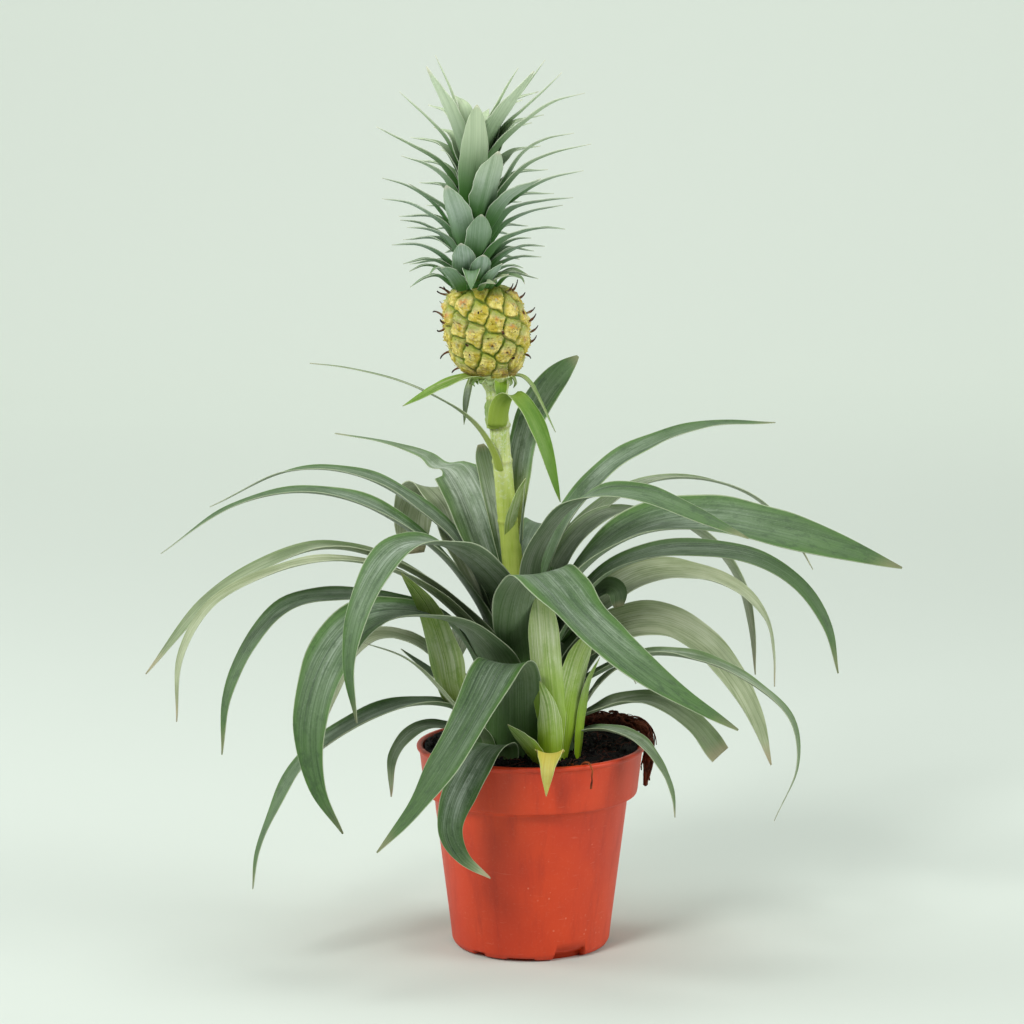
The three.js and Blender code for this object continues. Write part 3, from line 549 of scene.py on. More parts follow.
def tuftShells():
    # a lumpy core along the rim, and strands that wander round it: each runs along a share of the
    # core, turns about it by an even twist and a ripple, and swings nearer and further
    rows = np.array(rootLook["tuft"], float)
    v = np.linspace(0, 1, 46)
    middle, tangent = alongCurve(polar(rows[:, 1], np.radians(rows[:, 0]), rows[:, 2]), v)[:2]
    thick = np.interp(v, np.linspace(0, 1, len(rows)), rows[:, 3])
    outward = unit(middle * (1, 1, 0))
    side = unit(outward - tangent * (outward * tangent).sum(-1, keepdims=True))
    up = np.cross(tangent, side)
    a = circle(14)
    r = 0.75 * thick[:, None] * (1 + 0.15 * ripple(v[:, None] * 26 + a * 3, 9, 4))
    core = middle[:, None] + r[..., None] * turned(side[:, None], up[:, None], a)
    n = rootLook["tuftStrands"]
    t = np.linspace(0, 1, 16)
    start, span = random.uniform(-0.02, 0.86, n), random.uniform(0.08, 0.3, n)
    share = np.clip(start[:, None] + span[:, None] * t, 0, 1)
    turn = random.uniform(0, 6.28, n)[:, None] + random.uniform(-4, 4, n)[:, None] * t
    turn = turn + ripple(t * 9, 12, 3, 0.3)
    far = np.interp(share, v, thick) * random.uniform(0.5, 1.15, n)[:, None]
    far = far * (1 + random.uniform(-0.3, 0.35, (n, 1)) * np.sin(t * 5))

    def pick(values):  # the values at each strand's shares of the core's length
        return np.stack([np.interp(share, v, values[:, k]) for k in range(3)], -1)

    line = pick(middle) + far[..., None] * turned(pick(side), pick(up), turn)
    radius = random.uniform(*rootLook["tuftStrandRadius"], n)[:, None] * (1 - 0.45 * t)
    return [shell(core * mm, "fan"), shell(tube(line * mm, radius * mm, 5), "fan")]


def rootShells():
    # each root thins to its tip, with knots: a ripple moves its line and another its thickness
    shells = []
    for thick, points in rootLook["roots"]:
        v = np.linspace(0, 1, 60)
        line = alongCurve(points, v)[0]
        line = line + np.stack([ripple(v * 21, 20 + k, 3, 0.12) for k in range(3)], -1)
        radius = thick * (1 - 0.35 * v) * (1 + 0.125 * ripple(v * 40, 31, 3))
        radius = radius + 0.25 * smooth((v - 0.9) / 0.08)
        shells.append(shell(tube(line[None] * mm, radius * mm, 9), "fan"))
    return shells


print("pot, soil and roots")
peat, coir, thread = soilFinish(), rootFinish(rootLook["pale"]), rootFinish(rootLook["thread"])
piece("potBody", [potSurface()], potFinish(), "pot_plastic", "pot")
piece("peatBed", [soilSurface()], peat, "peat", "soil")
piece("peatCrumbs", [soilCrumbs()], peat, "peat", "soil")
piece("peatFibres", [soilFibres()], thread, "root_fibre", "soil")
piece("rootTuft", tuftShells(), coir, "root_fibre", "root_tuft")
piece("rootStrand", rootShells(), rootFinish(rootLook["strand"]), "root_fibre", "root_strand")


leafShape = {
    "thickness": 0.8, "margin": 0.32, "stations": 72, "across": 15,
    "axisX": -5.0, "innerRing": 8.2, "ringStep": 1.45,  # the rings that the leaves' feet stand on, in mm
    "stumpRadius": 26, "stumpSpan": 19, "stumpHeights": (87.0, 132.0), "wrap": 1.35,
    "foldWidth": 0.16, "widthRipple": 0.03, "edgeRipple": 0.02, "cupRipple": 0.016,  # shares of the width
}


def leafWidth(leaf, v):
    # it widens from its base by a smooth step, and beyond "narrowing" it loses a power of the
    # share of the way that is left, down to its tip's share
    rise = lerp(leaf["baseShare"], 1.0, smooth(v / 0.35))
    narrowing = leaf.get("narrowing", 0.4)
    far = np.clip((v - narrowing) / (1 - narrowing), 0, 1)
    taper = 1 - (1 - leaf.get("tipShare", 0.03)) * far ** leaf.get("point", 1.6)
    return leaf["width"] * rise * taper


def leafShell(leaf, seed, age=0.0, tone=0.5):
    # a channelled blade: an arc-shaped section carried along a curve; its sideways direction turns
    # from the bearing of its foot to the heading of its tip, and then rolls; the arc's radius grows
    # from its ring's to the width times the openness, and its edges are rippled
    s = leafShape
    v = np.linspace(0, 1, leaf.get("fine", s["stations"]) + 1)
    middle, tangent, length = alongCurve(leaf["points"], v)
    heading = np.radians(lerp(leaf["bearing"], leaf["heading"], smooth(v / 0.6)))
    side = np.stack([-np.sin(heading), np.cos(heading), 0 * v], -1)
    side = unit(side - tangent * (side * tangent).sum(-1, keepdims=True))
    rolls = [0, *leaf.get("roll", [0])]
    turn = np.radians(np.interp(v, np.linspace(0, 1, len(rolls)), rolls))
    side = turned(side, np.cross(tangent, side), turn)
    up = np.cross(tangent, side)
    width = leafWidth(leaf, v) * (1 + s["widthRipple"] * ripple(v * 12, seed, 3))
    bend = lerp(leaf["ringRadius"], leaf["width"] * leaf.get("openness", 1.0), smooth(v / 0.4))
    u = np.sin(np.linspace(-np.pi / 2, np.pi / 2, leaf.get("across", s["across"])))
    a = u * np.minimum(1.2, width / 2 / bend)[:, None]
    body = lerp(leaf.get("thickness", s["thickness"]), s["margin"], u * u)
    thick = lerp(body, s["margin"] + 0 * body, v[:, None] ** 2)
    ends = smooth(v * 5) * smooth((1 - v) * 4)
    fold = leaf.get("fold", 0.0) * np.exp(-((u / s["foldWidth"]) ** 2)) * ends[:, None]
    edge = s["edgeRipple"] * (width * ripple(v * 16, seed + 50, 3))[:, None] * np.abs(u) ** 3 * np.sign(u)
    edge = edge + s["cupRipple"] * (width * ripple(v * 9, seed + 90, 2))[:, None] * u ** 2
    bend = bend[:, None]

    def face(depth):  # one side of the blade: an arc of the radius bend + depth
        out = (bend + depth) * np.sin(a)
        lift = bend - (bend + depth) * np.cos(a) + edge - fold
        return middle[:, None] + side[:, None] * out[..., None] + up[:, None] * lift[..., None]

    ring = np.concatenate([face(thick), face(0)[:, ::-1]], 1)
    both = np.append(u, u[::-1])
    fade = age + (1 - age) * smooth((v - leaf.get("fade", 2.0)) / 0.2)
    return shell(
        ring * mm, across=both, along=v[:, None], upper=np.append(0 * u, 1 + 0 * u),
        lane=both * width[:, None] / 2, run=(v * length)[:, None] + seed * 37.0, age=fade[:, None], tone=tone,
    )


def rosetteLeaf(name, ring, bearing, leave, width, path, **more):
    # the foot stands on the stump's cone, on the leaf's own ring; the blade climbs upright to the
    # height where it leaves the bundle, and its tip's heading is the way its path goes
    s = leafShape
    radius = s["innerRing"] + s["ringStep"] * ring
    foot = lerp(*s["stumpHeights"], max(0.0, (s["stumpRadius"] - radius) / s["stumpSpan"]))
    b = math.radians(bearing)
    x, y = s["axisX"] + radius * math.cos(b), radius * math.sin(b)
    points = np.array([(x, y, foot), (x, y, max(leave, foot + 6)), *path], float)
    way = points[-1] - points[2]
    swing = (math.degrees(math.atan2(way[1], way[0])) - bearing + 540) % 360 - 180
    return {"name": "leaf_" + name, "kind": "green", "bearing": bearing, "heading": bearing + swing,
            "width": width, "points": points, "ringRadius": radius,
            "baseShare": min(1.0, s["wrap"] * radius / width), **more}


def freeLeaf(bearing, width, path, hug=5.0, **more):
    # a leaf away from the rosette's rings; its foot is curled to the radius "hug"
    return {"bearing": bearing, "heading": bearing, "width": width, "points": np.array(path, float),
            "ringRadius": hug, "baseShare": 0.8, "fine": 40, **more}


# name, ring, bearing, height where it leaves the bundle, width and the points of its middle in mm,
# and what differs from the usual leaf: "narrowing" is where it starts to thin, "point" how late,
# "roll" its turns on the way in degrees, "tone" its bloom and, below 0.4, a painted shade that darkens it,
# "age" and "fade" how dry and from where
rosette = [
    ("right_10", 2, 285, 134, 35, [(-4, -26, 154), (-1, -35, 171.5), (4, -44, 179), (11, -54, 174.5),
     (19, -63, 166), (33, -76, 154.5), (56, -91, 139), (87.5, -102, 121.4)],
     dict(roll=[2, 20], narrowing=0.38, point=1.4, tone=0.4, openness=2.4)),
    ("left_12", 12, 262, 112, 26, [(-9, -31, 132), (-13, -43, 138), (-23, -60, 123), (-36, -73, 103),
     (-51, -82, 82), (-67, -87, 64)], dict(narrowing=0.45, tone=0.3, openness=1.8)),
    ("left_08", 8, 236, 130, 27, [(-30, -30, 152), (-54, -37, 160), (-73, -45, 158), (-88, -60, 143),
     (-96, -71, 116), (-93, -76, 90), (-82, -78, 70)], dict(roll=[-14, -22], narrowing=0.45)),
    ("left_06", 0, 240, 150, 25, [(-20, -22, 174), (-38, -37, 190), (-58, -54, 191), (-73, -66, 170),
     (-79, -72, 144), (-76, -73, 118)], dict(tone=0.75)),
    ("right_04", 3, 342, 142, 34, [(23, -9, 174), (48, -17, 194), (75, -26, 200), (105, -34, 197),
     (135, -42, 190), (162, -48, 182)], dict(roll=[20, 42], narrowing=0.5, tone=0.4)),
    ("right_02", 1, 325, 148, 22, [(2, -12, 178), (13, -21, 200), (28, -32, 212), (47, -45, 214),
     (69, -58, 208), (93, -72, 199)], dict(roll=[8, 34], tone=0.35)),
    ("left_01", 0, 128, 150, 28, [(-21.5, 15, 190), (-28.5, 26, 206), (-35, 36, 214), (-42, 44, 214),
     (-49, 60, 217), (-68, 82, 220), (-93.6, 110, 220.5)],
     dict(narrowing=0.48, point=0.22, tone=0.9, age=0.1, heading=112, roll=[-14, -6])),
    # left_02's high age and tone pale it: painted light for the light that shines through it where it hangs
    # in shade
    ("left_02", 2, 148, 150, 31, [(-28, 17, 184), (-34, 28, 198), (-43, 38, 205), (-50, 45, 200),
     (-54, 48, 188), (-54, 50, 172)], dict(heading=112, narrowing=0.66, tipShare=0.3, tone=1.4, age=0.7)),
    ("left_03", 3, 178, 148, 18, [(-31, 3, 182), (-50, 8, 200), (-78, 22, 213), (-110, 36, 213),
     (-149, 50, 194)], dict(tone=0.45)),
    ("left_04", 4, 198, 144, 20, [(-35, -5, 174), (-54, -8, 192), (-79, -9, 206), (-107, -9, 210),
     (-137, -9, 202), (-166, -10, 182)], dict(roll=[-6, 0], tone=0.4)),
    ("left_05", 5, 214, 136, 18, [(-39, -13, 164), (-68, -20, 182), (-94, -24, 187), (-122, -28, 178),
     (-145, -31, 163), (-171, -35, 132)], dict(roll=[0, -40], tone=0.6, age=0.5)),
    ("left_15", 6, 216, 134, 13, [(-38, -21, 161), (-62, -30, 178), (-90, -38, 184), (-118, -44, 178),
     (-141, -47, 165), (-154, -51, 143), (-156, -52, 114)], dict(roll=[0, -30], tone=0.7, age=0.9)),
    ("left_07", 7, 184, 126, 18, [(-38, -3, 150), (-59, -7, 159), (-85, -14, 163), (-109, -22, 160),
     (-125, -30, 144), (-135, -36, 122), (-137.5, -38, 96)], dict(roll=[-8, -24], tone=0.4)),
    ("left_09", 9, 160, 112, 14, [(-38, 9, 126), (-53, 9, 138), (-69, 14, 140), (-83, 17, 131),
     (-91, 18, 113), (-95, 18, 98)], dict(roll=[0, -4, -60, -82], point=2.4, tone=0.4, age=0.5, fade=0.3)),
    ("left_10", 11, 208, 101, 19, [(-35, -22, 114), (-56, -34, 118), (-82, -45, 109), (-102, -51, 94),
     (-114, -55, 74), (-121, -57, 56), (-123, -58, 40)], dict(tone=0.35)),
    ("left_11", 13, 184, 98, 13, [(-44, -8, 103), (-54, -15, 101), (-62, -20, 91), (-63, -22, 73)],
     dict(roll=[-10, -24], narrowing=0.1, tone=0.3, age=0.2, fade=0.75)),
    ("left_14", 9, 215, 104, 15.5, [(-34, -21, 118), (-39, -26, 140), (-46, -31, 161), (-57.5, -37, 178)],
     dict(roll=[42, 56], narrowing=0.45, point=1.7, kind="shoot", openness=1.6)),
    ("left_18", 11, 140, 104, 11, [(-36, 20, 114), (-60, 34, 130)], dict(tone=0.2)),
    ("left_17", 13, 238, 99, 7, [(-34, -36, 118), (-54, -43, 140), (-76, -50, 150)],
     dict(tone=0.7, age=0.6)),
    ("left_13", 14, 252, 97, 16, [(-21, -45, 99), (-27.5, -55, 91), (-34, -60, 78), (-35.5, -61, 66),
     (-30, -61, 55), (-18, -62, 46)],
     dict(roll=[0, -10], point=1.5, tone=0.8, narrowing=0.45, fade=0.82, openness=1.5)),
    ("right_01", 0, 22, 156, 17, [(14, 11, 191), (34, 25, 214), (55, 40, 225), (82, 60, 231),
     (116, 85, 229)], dict(roll=[0, 16], narrowing=0.5, tone=0.35)),
    ("right_05", 2, 35, 146, 18, [(16, 17, 178), (35, 30, 193), (60, 46, 191), (85, 59, 175), (99, 67, 155),
     (105, 71, 132), (107, 72, 110)], dict(age=0.3)),
    ("right_03", 4, 62, 144, 13, [(22, 37, 184), (49, 55, 203), (79, 72, 204), (108, 86, 192),
     (129, 96, 168), (136, 99, 156)], dict(tone=0.6, age=0.4)),
    ("right_06", 5, 4, 134, 20, [(31, 4, 168), (54, 5, 179), (77, 4, 181), (103, 2, 177), (122, -1, 165),
     (134, -3, 147), (139, -4, 126)], dict(roll=[12, 44], tone=0.35)),
    ("right_07", 6, 40, 130, 24, [(34, 24, 155), (55, 36, 164), (79, 47, 162.5), (99, 56, 153),
     (111, 61, 139), (115, 63, 122), (115.5, 63, 106)],
     dict(roll=[14, 44], tone=0.8, age=0.6, fade=0.35, flaps=[dict(bearing=350, width=11, narrowing=0.7,
          point=3, tipShare=0.4, roll=[20, 60], path=[(15, 13, 137), (24, 13, 150), (29.4, 12, 158.6),
          (34.6, 11, 163), (38.6, 10, 161.4), (40, 10, 154)])])),
    ("right_08", 7, 20, 122, 24, [(34, 12, 141), (57, 19, 145), (78, 24, 135), (94, 28, 117), (105, 31, 97),
     (112, 33, 75)], dict(roll=[40, 72], tone=0.6, age=0.9)),
    ("right_09", 8, 345, 114, 15, [(31, -11, 128), (53, -15, 137), (78, -20, 135), (100, -25, 125),
     (116, -28, 110), (119, -29, 89), (109, -30, 64)], dict(age=0.2)),
    ("right_11", 10, 336, 102, 16, [(33, -15, 113), (54, -20, 117), (71, -24, 108), (84, -27, 93)],
     dict(roll=[10, 34], tipShare=0.8, age=0.4)),
    ("right_12", 12, 330, 98, 12, [(32, -25, 105), (48, -33, 101), (58, -37, 90), (63, -39, 78),
     (64, -40, 68)], dict(tone=0.7, age=0.2)),
    ("right_13", 12, 4, 101, 11, [(30, 2, 119), (42, 2, 128), (48, 2, 120)], dict(tone=0.7, age=0.6)),
    ("right_15", 9, 50, 112, 14, [(23, 29, 140), (36, 42, 160), (48, 52, 158)], dict(tone=0.6, age=0.5)),
    ("right_14", 10, 22, 104, 9, [(28, 17, 128), (48, 26, 144)], dict(tone=0.4)),
    ("back_1", 1, 78, 150, 24, [(2, 28, 178), (7, 54, 185), (12, 84, 174), (16, 112, 148)], {}),
    ("back_2", 5, 110, 140, 22, [(-17, 32, 172), (-25, 60, 188), (-31, 92, 180), (-35, 120, 152)],
     dict(tone=0.35)),
    ("back_3", 8, 86, 128, 24, [(-2, 38, 154), (2, 64, 162), (4, 92, 148), (5, 107, 120), (5, 110, 92)],
     dict(tone=0.45)),
    ("back_4", 10, 116, 112, 22, [(-18, 38, 132), (-26, 60, 136), (-32, 84, 126), (-36, 100, 108)],
     dict(tone=0.4)),
    ("back_5", 11, 80, 106, 20, [(2, 40, 122), (10, 62, 127), (18, 82, 114), (22, 90, 92), (23, 92, 66)],
     dict(age=0.3)),
]

# bearing, width, points and what differs, numbered from the first on
stalkLeaves = [
    (215, 6.5, [(-19, -4, 260), (-29.5, -9, 261.4), (-40.5, -13, 257.8), (-49, -17, 253.8),
     (-57, -20, 249.8)], dict(hug=4, roll=[-20, -30], kind="shoot")),
    (235, 6.4, [(-14.2, -2.6, 217), (-16.4, -4.6, 226), (-20.6, -6.2, 234.4), (-25, -7.2, 240.2),
     (-31.5, -8, 246.2), (-41, -10, 252.3), (-58.3, -13, 260.4), (-82, -16, 266.6), (-98, -18, 268.7)],
     dict(heading=215, hug=4.6, narrowing=0.05, point=0.6, tone=0.8, age=0.4, kind="stalk",
          roll=[-16, -30])),
    (230, 3.4, [(-23, 1, 262), (-26.5, 1, 259.4), (-28.8, 1, 252), (-30.2, 1, 238.6)],
     dict(tone=0.9, age=0.3, roll=[-20, -30], kind="stalk")),
    (330, 3.8, [(-12, 2, 260.4), (-5, 5, 260.7), (-1, 6, 257.8), (4, 8, 249), (11.2, 9, 234.3)],
     dict(heading=345, kind="shoot", age=0.3)),
    (285, 8.2, [(-14.6, -5.6, 238.6), (-14, -6.4, 245), (-12.2, -7.8, 250.6), (-8.2, -10.8, 253.6),
     (-2.4, -15, 249), (5, -19, 234.6), (12.9, -22, 207)],
     dict(heading=305, hug=5.6, narrowing=0.5, kind="shoot", roll=[10, 20], tone=0.1, baseShare=1.3)),
    (50, 14, [(-6.5, 6, 186), (-6.3, 7, 204), (-5, 9, 221.6), (-0.5, 14, 239), (6.4, 20, 251),
     (14, 26, 260), (21.5, 32, 266.3)],
     dict(hug=6, narrowing=0.72, point=2.2, tipShare=0.1, heading=60, roll=[14, 34], tone=1, kind="stalk")),
    (225, 8.6, [(-18, -3.8, 237.6), (-18.4, -4, 244), (-18.6, -4.2, 250.6)],
     dict(hug=5.4, narrowing=0.55, point=2, tipShare=0.4, kind="shoot", baseShare=1, tone=0.3)),
    (300, 5.6, [(-9.6, -1.5, 186), (-9, -4.4, 195), (-7.4, -5.8, 202), (-5.2, -7.2, 209.6),
     (-2.6, -9, 216)], dict(kind="shoot", hug=4.8, baseShare=1)),
    (0, 6, [(-5.5, 1, 172), (-4.4, 1, 192), (-3, 1.6, 212.4)], dict(hug=5.5, tone=0.2)),
    (135, 9.5, [(-11.6, 8, 170), (-15.4, 12, 196), (-19.4, 15, 214), (-22.8, 18, 227.6)],
     dict(heading=100, hug=6, narrowing=0.75, point=3, tipShare=0.3, tone=1.9, age=0.3)),
]

offsetLeaves = [
    (280, 12, [(9, -31.5, 90), (8.4, -35, 108), (7, -36.6, 119.5), (3.6, -38, 129.5)],
     dict(hug=6.4, narrowing=0.3, point=1.7, baseShare=0.75, fold=0.4, tone=0.8)),
    (275, 14.5, [(11.4, -27.5, 90), (8.6, -29.5, 117), (6.2, -30, 142), (4, -29, 170)],
     dict(hug=7, narrowing=0.7, point=2, baseShare=0.45, tone=1.1, age=0.3, flaps=[dict(bearing=250,
          width=9, narrowing=0.4, point=1.6, baseShare=0.9, path=[(4, -34, 90.5), (1, -38, 97),
          (-4, -41, 104), (-10.5, -43, 111)])])),
    (285, 12, [(13.6, -25.5, 90), (16.6, -26.6, 118.6), (21, -27.6, 137), (27, -28, 151)],
     dict(hug=7, narrowing=0.65, point=2.2, baseShare=0.45, tone=0.8)),
    (300, 4.6, [(20.5, -24, 90), (22.6, -25, 112), (25.4, -26, 127), (30.4, -27, 138)],
     dict(baseShare=0.7, tone=0.2)),
    (268, 14, [(8, -39, 95.4), (8, -49, 99), (7, -56.5, 94), (6.4, -58.5, 82)],
     dict(hug=9, narrowing=0.1, point=1.1, baseShare=1, age=0.1, kind="yellow")),
]

greenLook = {
    **palette(
        upper=(74, 106, 56), upperDark=(46, 74, 38), bloom=(160, 174, 158), margin=(74, 118, 34),
        edge=(212, 220, 190), under=(122, 138, 108), underDark=(84, 104, 70), underBloom=(172, 180, 164),
        foot=(50, 90, 10), old=(182, 190, 156), oldDark=(128, 142, 92), tip=(164, 150, 118),
    ),
    "rough": 0.42, "footShare": 0.85, "reach": 0.4, "streak": 1.0,
}
youngLook = {
    **greenLook,
    **palette(
        upper=(112, 150, 40), upperDark=(78, 120, 22), bloom=(172, 188, 134), margin=(126, 168, 50),
        edge=(224, 230, 190), under=(142, 166, 76), underDark=(98, 134, 32), underBloom=(196, 204, 176),
        foot=(140, 176, 10),
    ),
    "footShare": 1.0, "reach": 0.8,
}
yellowLook = {
    **youngLook,
    **palette(
        upper=(214, 200, 84), upperDark=(186, 160, 66), margin=(158, 178, 74), under=(222, 212, 128),
        underDark=(196, 178, 84), foot=(214, 196, 70),
    ),
}
stalkLook = {**greenLook, **palette(foot=(158, 176, 60)), "footShare": 0.9}
shootLook = {**youngLook, **palette(foot=(150, 172, 52)), "footShare": 0.75, "reach": 0.45}


def leafFinish(name, look):
    # the upper face is dark between green margins, the lower is pale and waxy; both carry fine
    # lengthways stripes of bloom, from noise that is stretched along the blade, and old leaves
    # fade to olive and straw
    f = Finish(name, {"Specular IOR Level": 0.42, "Sheen Weight": 0.06, "Sheen Roughness": 0.5})
    across, along, upper, lane, run = f.attributes("across", "along", "upper", "lane", "run")
    age, tone = f.attributes("age", "tone")

    def grain(laneScale, runScale, third, detail, roughness=0.5):  # noise, stretched along the blade
        return f.noise(f.vector(lane * laneScale, run * runScale, third), 1.0, detail, roughness)

    bands = grain(0.42, 0.004, tone * 5.0, 2.0)
    stripes = grain(1.7, 0.012, run * 0.003, 3.0, 0.6)
    threads = grain(3.4, 0.05, run * 0.01, 2.0, 0.6)
    cloud = grain(0.14, 0.04, tone * 9.0, 4.0)
    dust = grain(1.5, 0.9, tone * 3.0, 4.0, 0.75)
    patch = grain(0.3, 0.16, tone * 7.0, 5.0, 0.7)
    off = abs(across)
    marginShare = (off + (bands - 0.5) * 0.5).between(0.55, 1.0)
    bright = (stripes.between(0.42, 0.7) * 0.36 + threads.between(0.46, 0.66) * 0.2) * look["streak"]
    bloom = (bright + bands.between(0.4, 0.64) * 0.2 + 0.1) * (0.25 + cloud.between(0.34, 0.64) * 1.3)
    bloom = bloom * (tone + 0.35) * (1.0 - along.between(0.5, 0.95) * 0.6)
    groove = bands.between(0.4, 0.32) * 0.8
    speckle = dust.between(0.5, 0.75)
    top = f.coats(
        f.mix(look["upperDark"], look["upper"], stripes.between(0.3, 0.6) - groove), look,
        ("bloom", bloom * (1.0 - marginShare * 0.65) + speckle * 0.28),
        ("margin", marginShare * (0.45 + cloud * 0.5)),
        ("margin", along.between(0.5, 0.95) * (0.2 + cloud.between(0.35, 0.6) * 0.5)),
        ("upperDark", patch.between(0.5, 0.66) * 0.45 + along.between(0.5, 0.9) * 0.3),
    )
    low = f.coats(
        look["underDark"], look,
        ("under", stripes.between(0.3, 0.62)),
        ("underBloom", bloom * 0.9 + speckle * 0.25),
        ("margin", marginShare * 0.25),
        ("underDark", patch.between(0.5, 0.66) * 0.4),
    )
    dry = stripes.between(0.32, 0.6) * 0.6 + cloud.between(0.35, 0.65) * 0.4
    base = f.mix(low, top, upper.between(0.4, 0.6))
    base = f.mix(base, f.mix(look["oldDark"], look["old"], dry), age * (0.45 + cloud * 0.8))
    # painted shade: a tone below 0.4 darkens the blade towards the upper face's dark green
    base = f.mix(base, look["upperDark"], tone.between(0.4, 0.0) * 0.7)
    if "light" in look:  # the upper blades of the crown are young and pale
        z = f.axis(2)
        base = f.coats(
            base, look,
            ("light", z.between(0.325, 0.38) * (0.35 + stripes * 0.5)),
            ("foot", z.between(0.328, 0.302) * (1.0 - along) * 0.55),
        )
    base = f.coats(
        base, look,
        ("foot", along.between(look["reach"], 0.06) * look["footShare"]),
        ("tip", (along + (cloud - 0.5) * 0.1).between(0.92, 1.0) * (0.35 + age * 0.6)),
        ("edge", (off + (cloud - 0.5) * 0.08).between(0.95, 0.995) * 0.45),
    )
    height = stripes * 0.8 + threads * 0.3 + bands * 0.6 - groove
    rough = look["rough"] + threads * 0.16 + dust * 0.1
    return f.feed(base=base, rough=rough, normal=f.bump(height, 0.4, 0.0006))


def makeLeaves():
    # every leaf is a piece of its own; its number sets its chance ripples and stripes
    kinds = {
        "green": (leafFinish("waxyGreenLeaf", greenLook), "green_leaf"),
        "young": (leafFinish("youngGreenLeaf", youngLook), "young_leaf"),
        "yellow": (leafFinish("yellowLeaf", yellowLook), "young_leaf"),
        "stalk": (leafFinish("stalkGreenLeaf", stalkLook), "green_leaf"),
        "shoot": (leafFinish("shootLeaf", shootLook), "young_leaf"),
    }
    leaves = [rosetteLeaf(*row, **more) for *row, more in rosette]
    for start, kind, table in (("stalk", "green", stalkLeaves), ("offset", "young", offsetLeaves)):
        for k, (*row, more) in enumerate(table):
            leaves.append({"name": f"{start}_leaf_{k + 1}", "kind": kind, **freeLeaf(*row, **more)})
    for seed, leaf in enumerate(leaves):
        finish, slot = kinds[leaf["kind"]]
        age, tone = leaf.get("age", 0.0), leaf.get("tone", 0.5)
        if leaf["kind"] == "green" and age > 0.7:
            slot = "pale_leaf"
        blades = [leafShell(leaf, seed, age, tone)]
        blades += [leafShell(freeLeaf(**flap), seed + 70, 0.2, 0.2) for flap in leaf.get("flaps", [])]
        piece(leaf["name"].replace("_", "-"), blades, finish, slot, leaf["name"])


print("leaves")
makeLeaves()


stemLook = {
    **palette(
        skin=(206, 216, 146), low=(174, 194, 50), dust=(214, 222, 200), scar=(126, 122, 54),
        shade=(156, 182, 84), bark=(48, 48, 20),
    ),
    "rows": [  # height, middle and radius, in mm
        (50, -5, 9), (80, -5, 21), (94, -5, 24.5), (130, -5, 7), (150, -5.5, 6), (175, -8.1, 4.7),
        (200, -10.9, 4.4), (226, -13.3, 4.3), (245, -14.8, 4.6), (254, -15.4, 5.0), (257.5, -16.0, 6.4),
        (260.5, -17.4, 9.0), (262.5, -18.2, 9.6),
    ],
    "scars": [(195.5, 0.35), (222.5, 0.4), (238.4, 0.7), (251.0, 0.3)],  # height and rise, in mm
}


def stemFinish():
    # pale waxy green with lengthways streaks, brighter below and dusty above; the scars and the
    # bark of the stump's foot are brown
    f = Finish("stalkSkin", {"Specular IOR Level": 0.4})
    x, y, z, scar = f.axis(0), f.axis(1), f.axis(2), f.attributes("scar")[0]
    streak = f.noise(f.vector(x * 700.0, y * 700.0, z * 40.0), 1.0, 3.0, 0.6)
    dust = f.noise(f.place(), 620.0, 4.0, 0.7)
    base = f.coats(
        stemLook["shade"], stemLook,
        ("skin", streak.between(0.25, 0.6)),
        ("low", z.between(0.23, 0.2) * (0.4 + streak * 0.5)),
        ("dust", dust.between(0.48, 0.66) * z.between(0.19, 0.23) * 0.75),
        ("scar", scar * 0.8),
        ("bark", z.between(0.16, 0.13) * 0.95),
    )
    return f.feed(base=base, rough=0.5 + dust * 0.25, normal=f.bump(streak + dust * 0.5, 0.4, 0.0005))


def stemSurface(sides=40):
    # rings whose middle and radius follow the table by height; each scar adds a low ridge, a bell
    # curve of the distance from its height, which tilts a little
    rows = np.array(stemLook["rows"], float)
    z = np.concatenate([np.linspace(50, 130, 30), np.linspace(131, 262.5, 180)])[:, None]
    x, r = (np.interp(z, rows[:, 0], rows[:, k]) for k in (1, 2))
    a = circle(sides)
    scar = 0 * z + 0 * a
    for height, size in stemLook["scars"]:
        scar = scar + size * np.exp(-(((z - height - 0.8 * np.cos(a - 1.0)) / 0.8) ** 2))
    radius = r * (1 + 0.02 * ripple(a * 3, 60, 3)) + scar + 0.06 * ripple(z / 3, 61, 3)
    return shell(polar(radius, a, z, x) * mm, "fan", scar=np.clip(scar, 0, 1))


fruitLook = {
    **palette(
        groove=(84, 114, 10), flesh=(194, 176, 52), pale=(230, 216, 124), green=(146, 162, 52),
        ripe=(200, 116, 44), brown=(98, 58, 30), dry=(48, 34, 30), husk=(196, 190, 142),
    ),
    "eyes": 52, "turn": 139.2, "start": 12.0, "low": 261.5, "high": 301.0,
    "huskLength": 5.4, "huskWidth": 6.4, "huskThickness": 0.35, "curlRadius": 0.62,
    "cupX": -17, "cupRadius": 4.5, "cupHeight": 260.0,  # where the collar's bracts leave the stalk
    "rows": [  # height, radius and middle x, in mm
        (258.8, 4.6, -16.2), (260.4, 8.5, -17.4), (263.0, 12.4, -18.4), (267.0, 15.2, -18.8),
        (273.0, 17.6, -19.2), (280.0, 19.0, -19.6), (287.0, 18.9, -20.3), (293.0, 17.3, -21.4),
        (297.5, 15.2, -22.2), (300.6, 12.0, -22.6), (302.0, 8.0, -22.6),
    ],
}


def fruitEyes():
    # one spiral: each eye is turned on from the last and a little higher
    i = np.arange(fruitLook["eyes"])
    bearing = np.radians(i * fruitLook["turn"] + fruitLook["start"])
    return bearing, lerp(fruitLook["low"], fruitLook["high"], (i + 0.5) / fruitLook["eyes"])


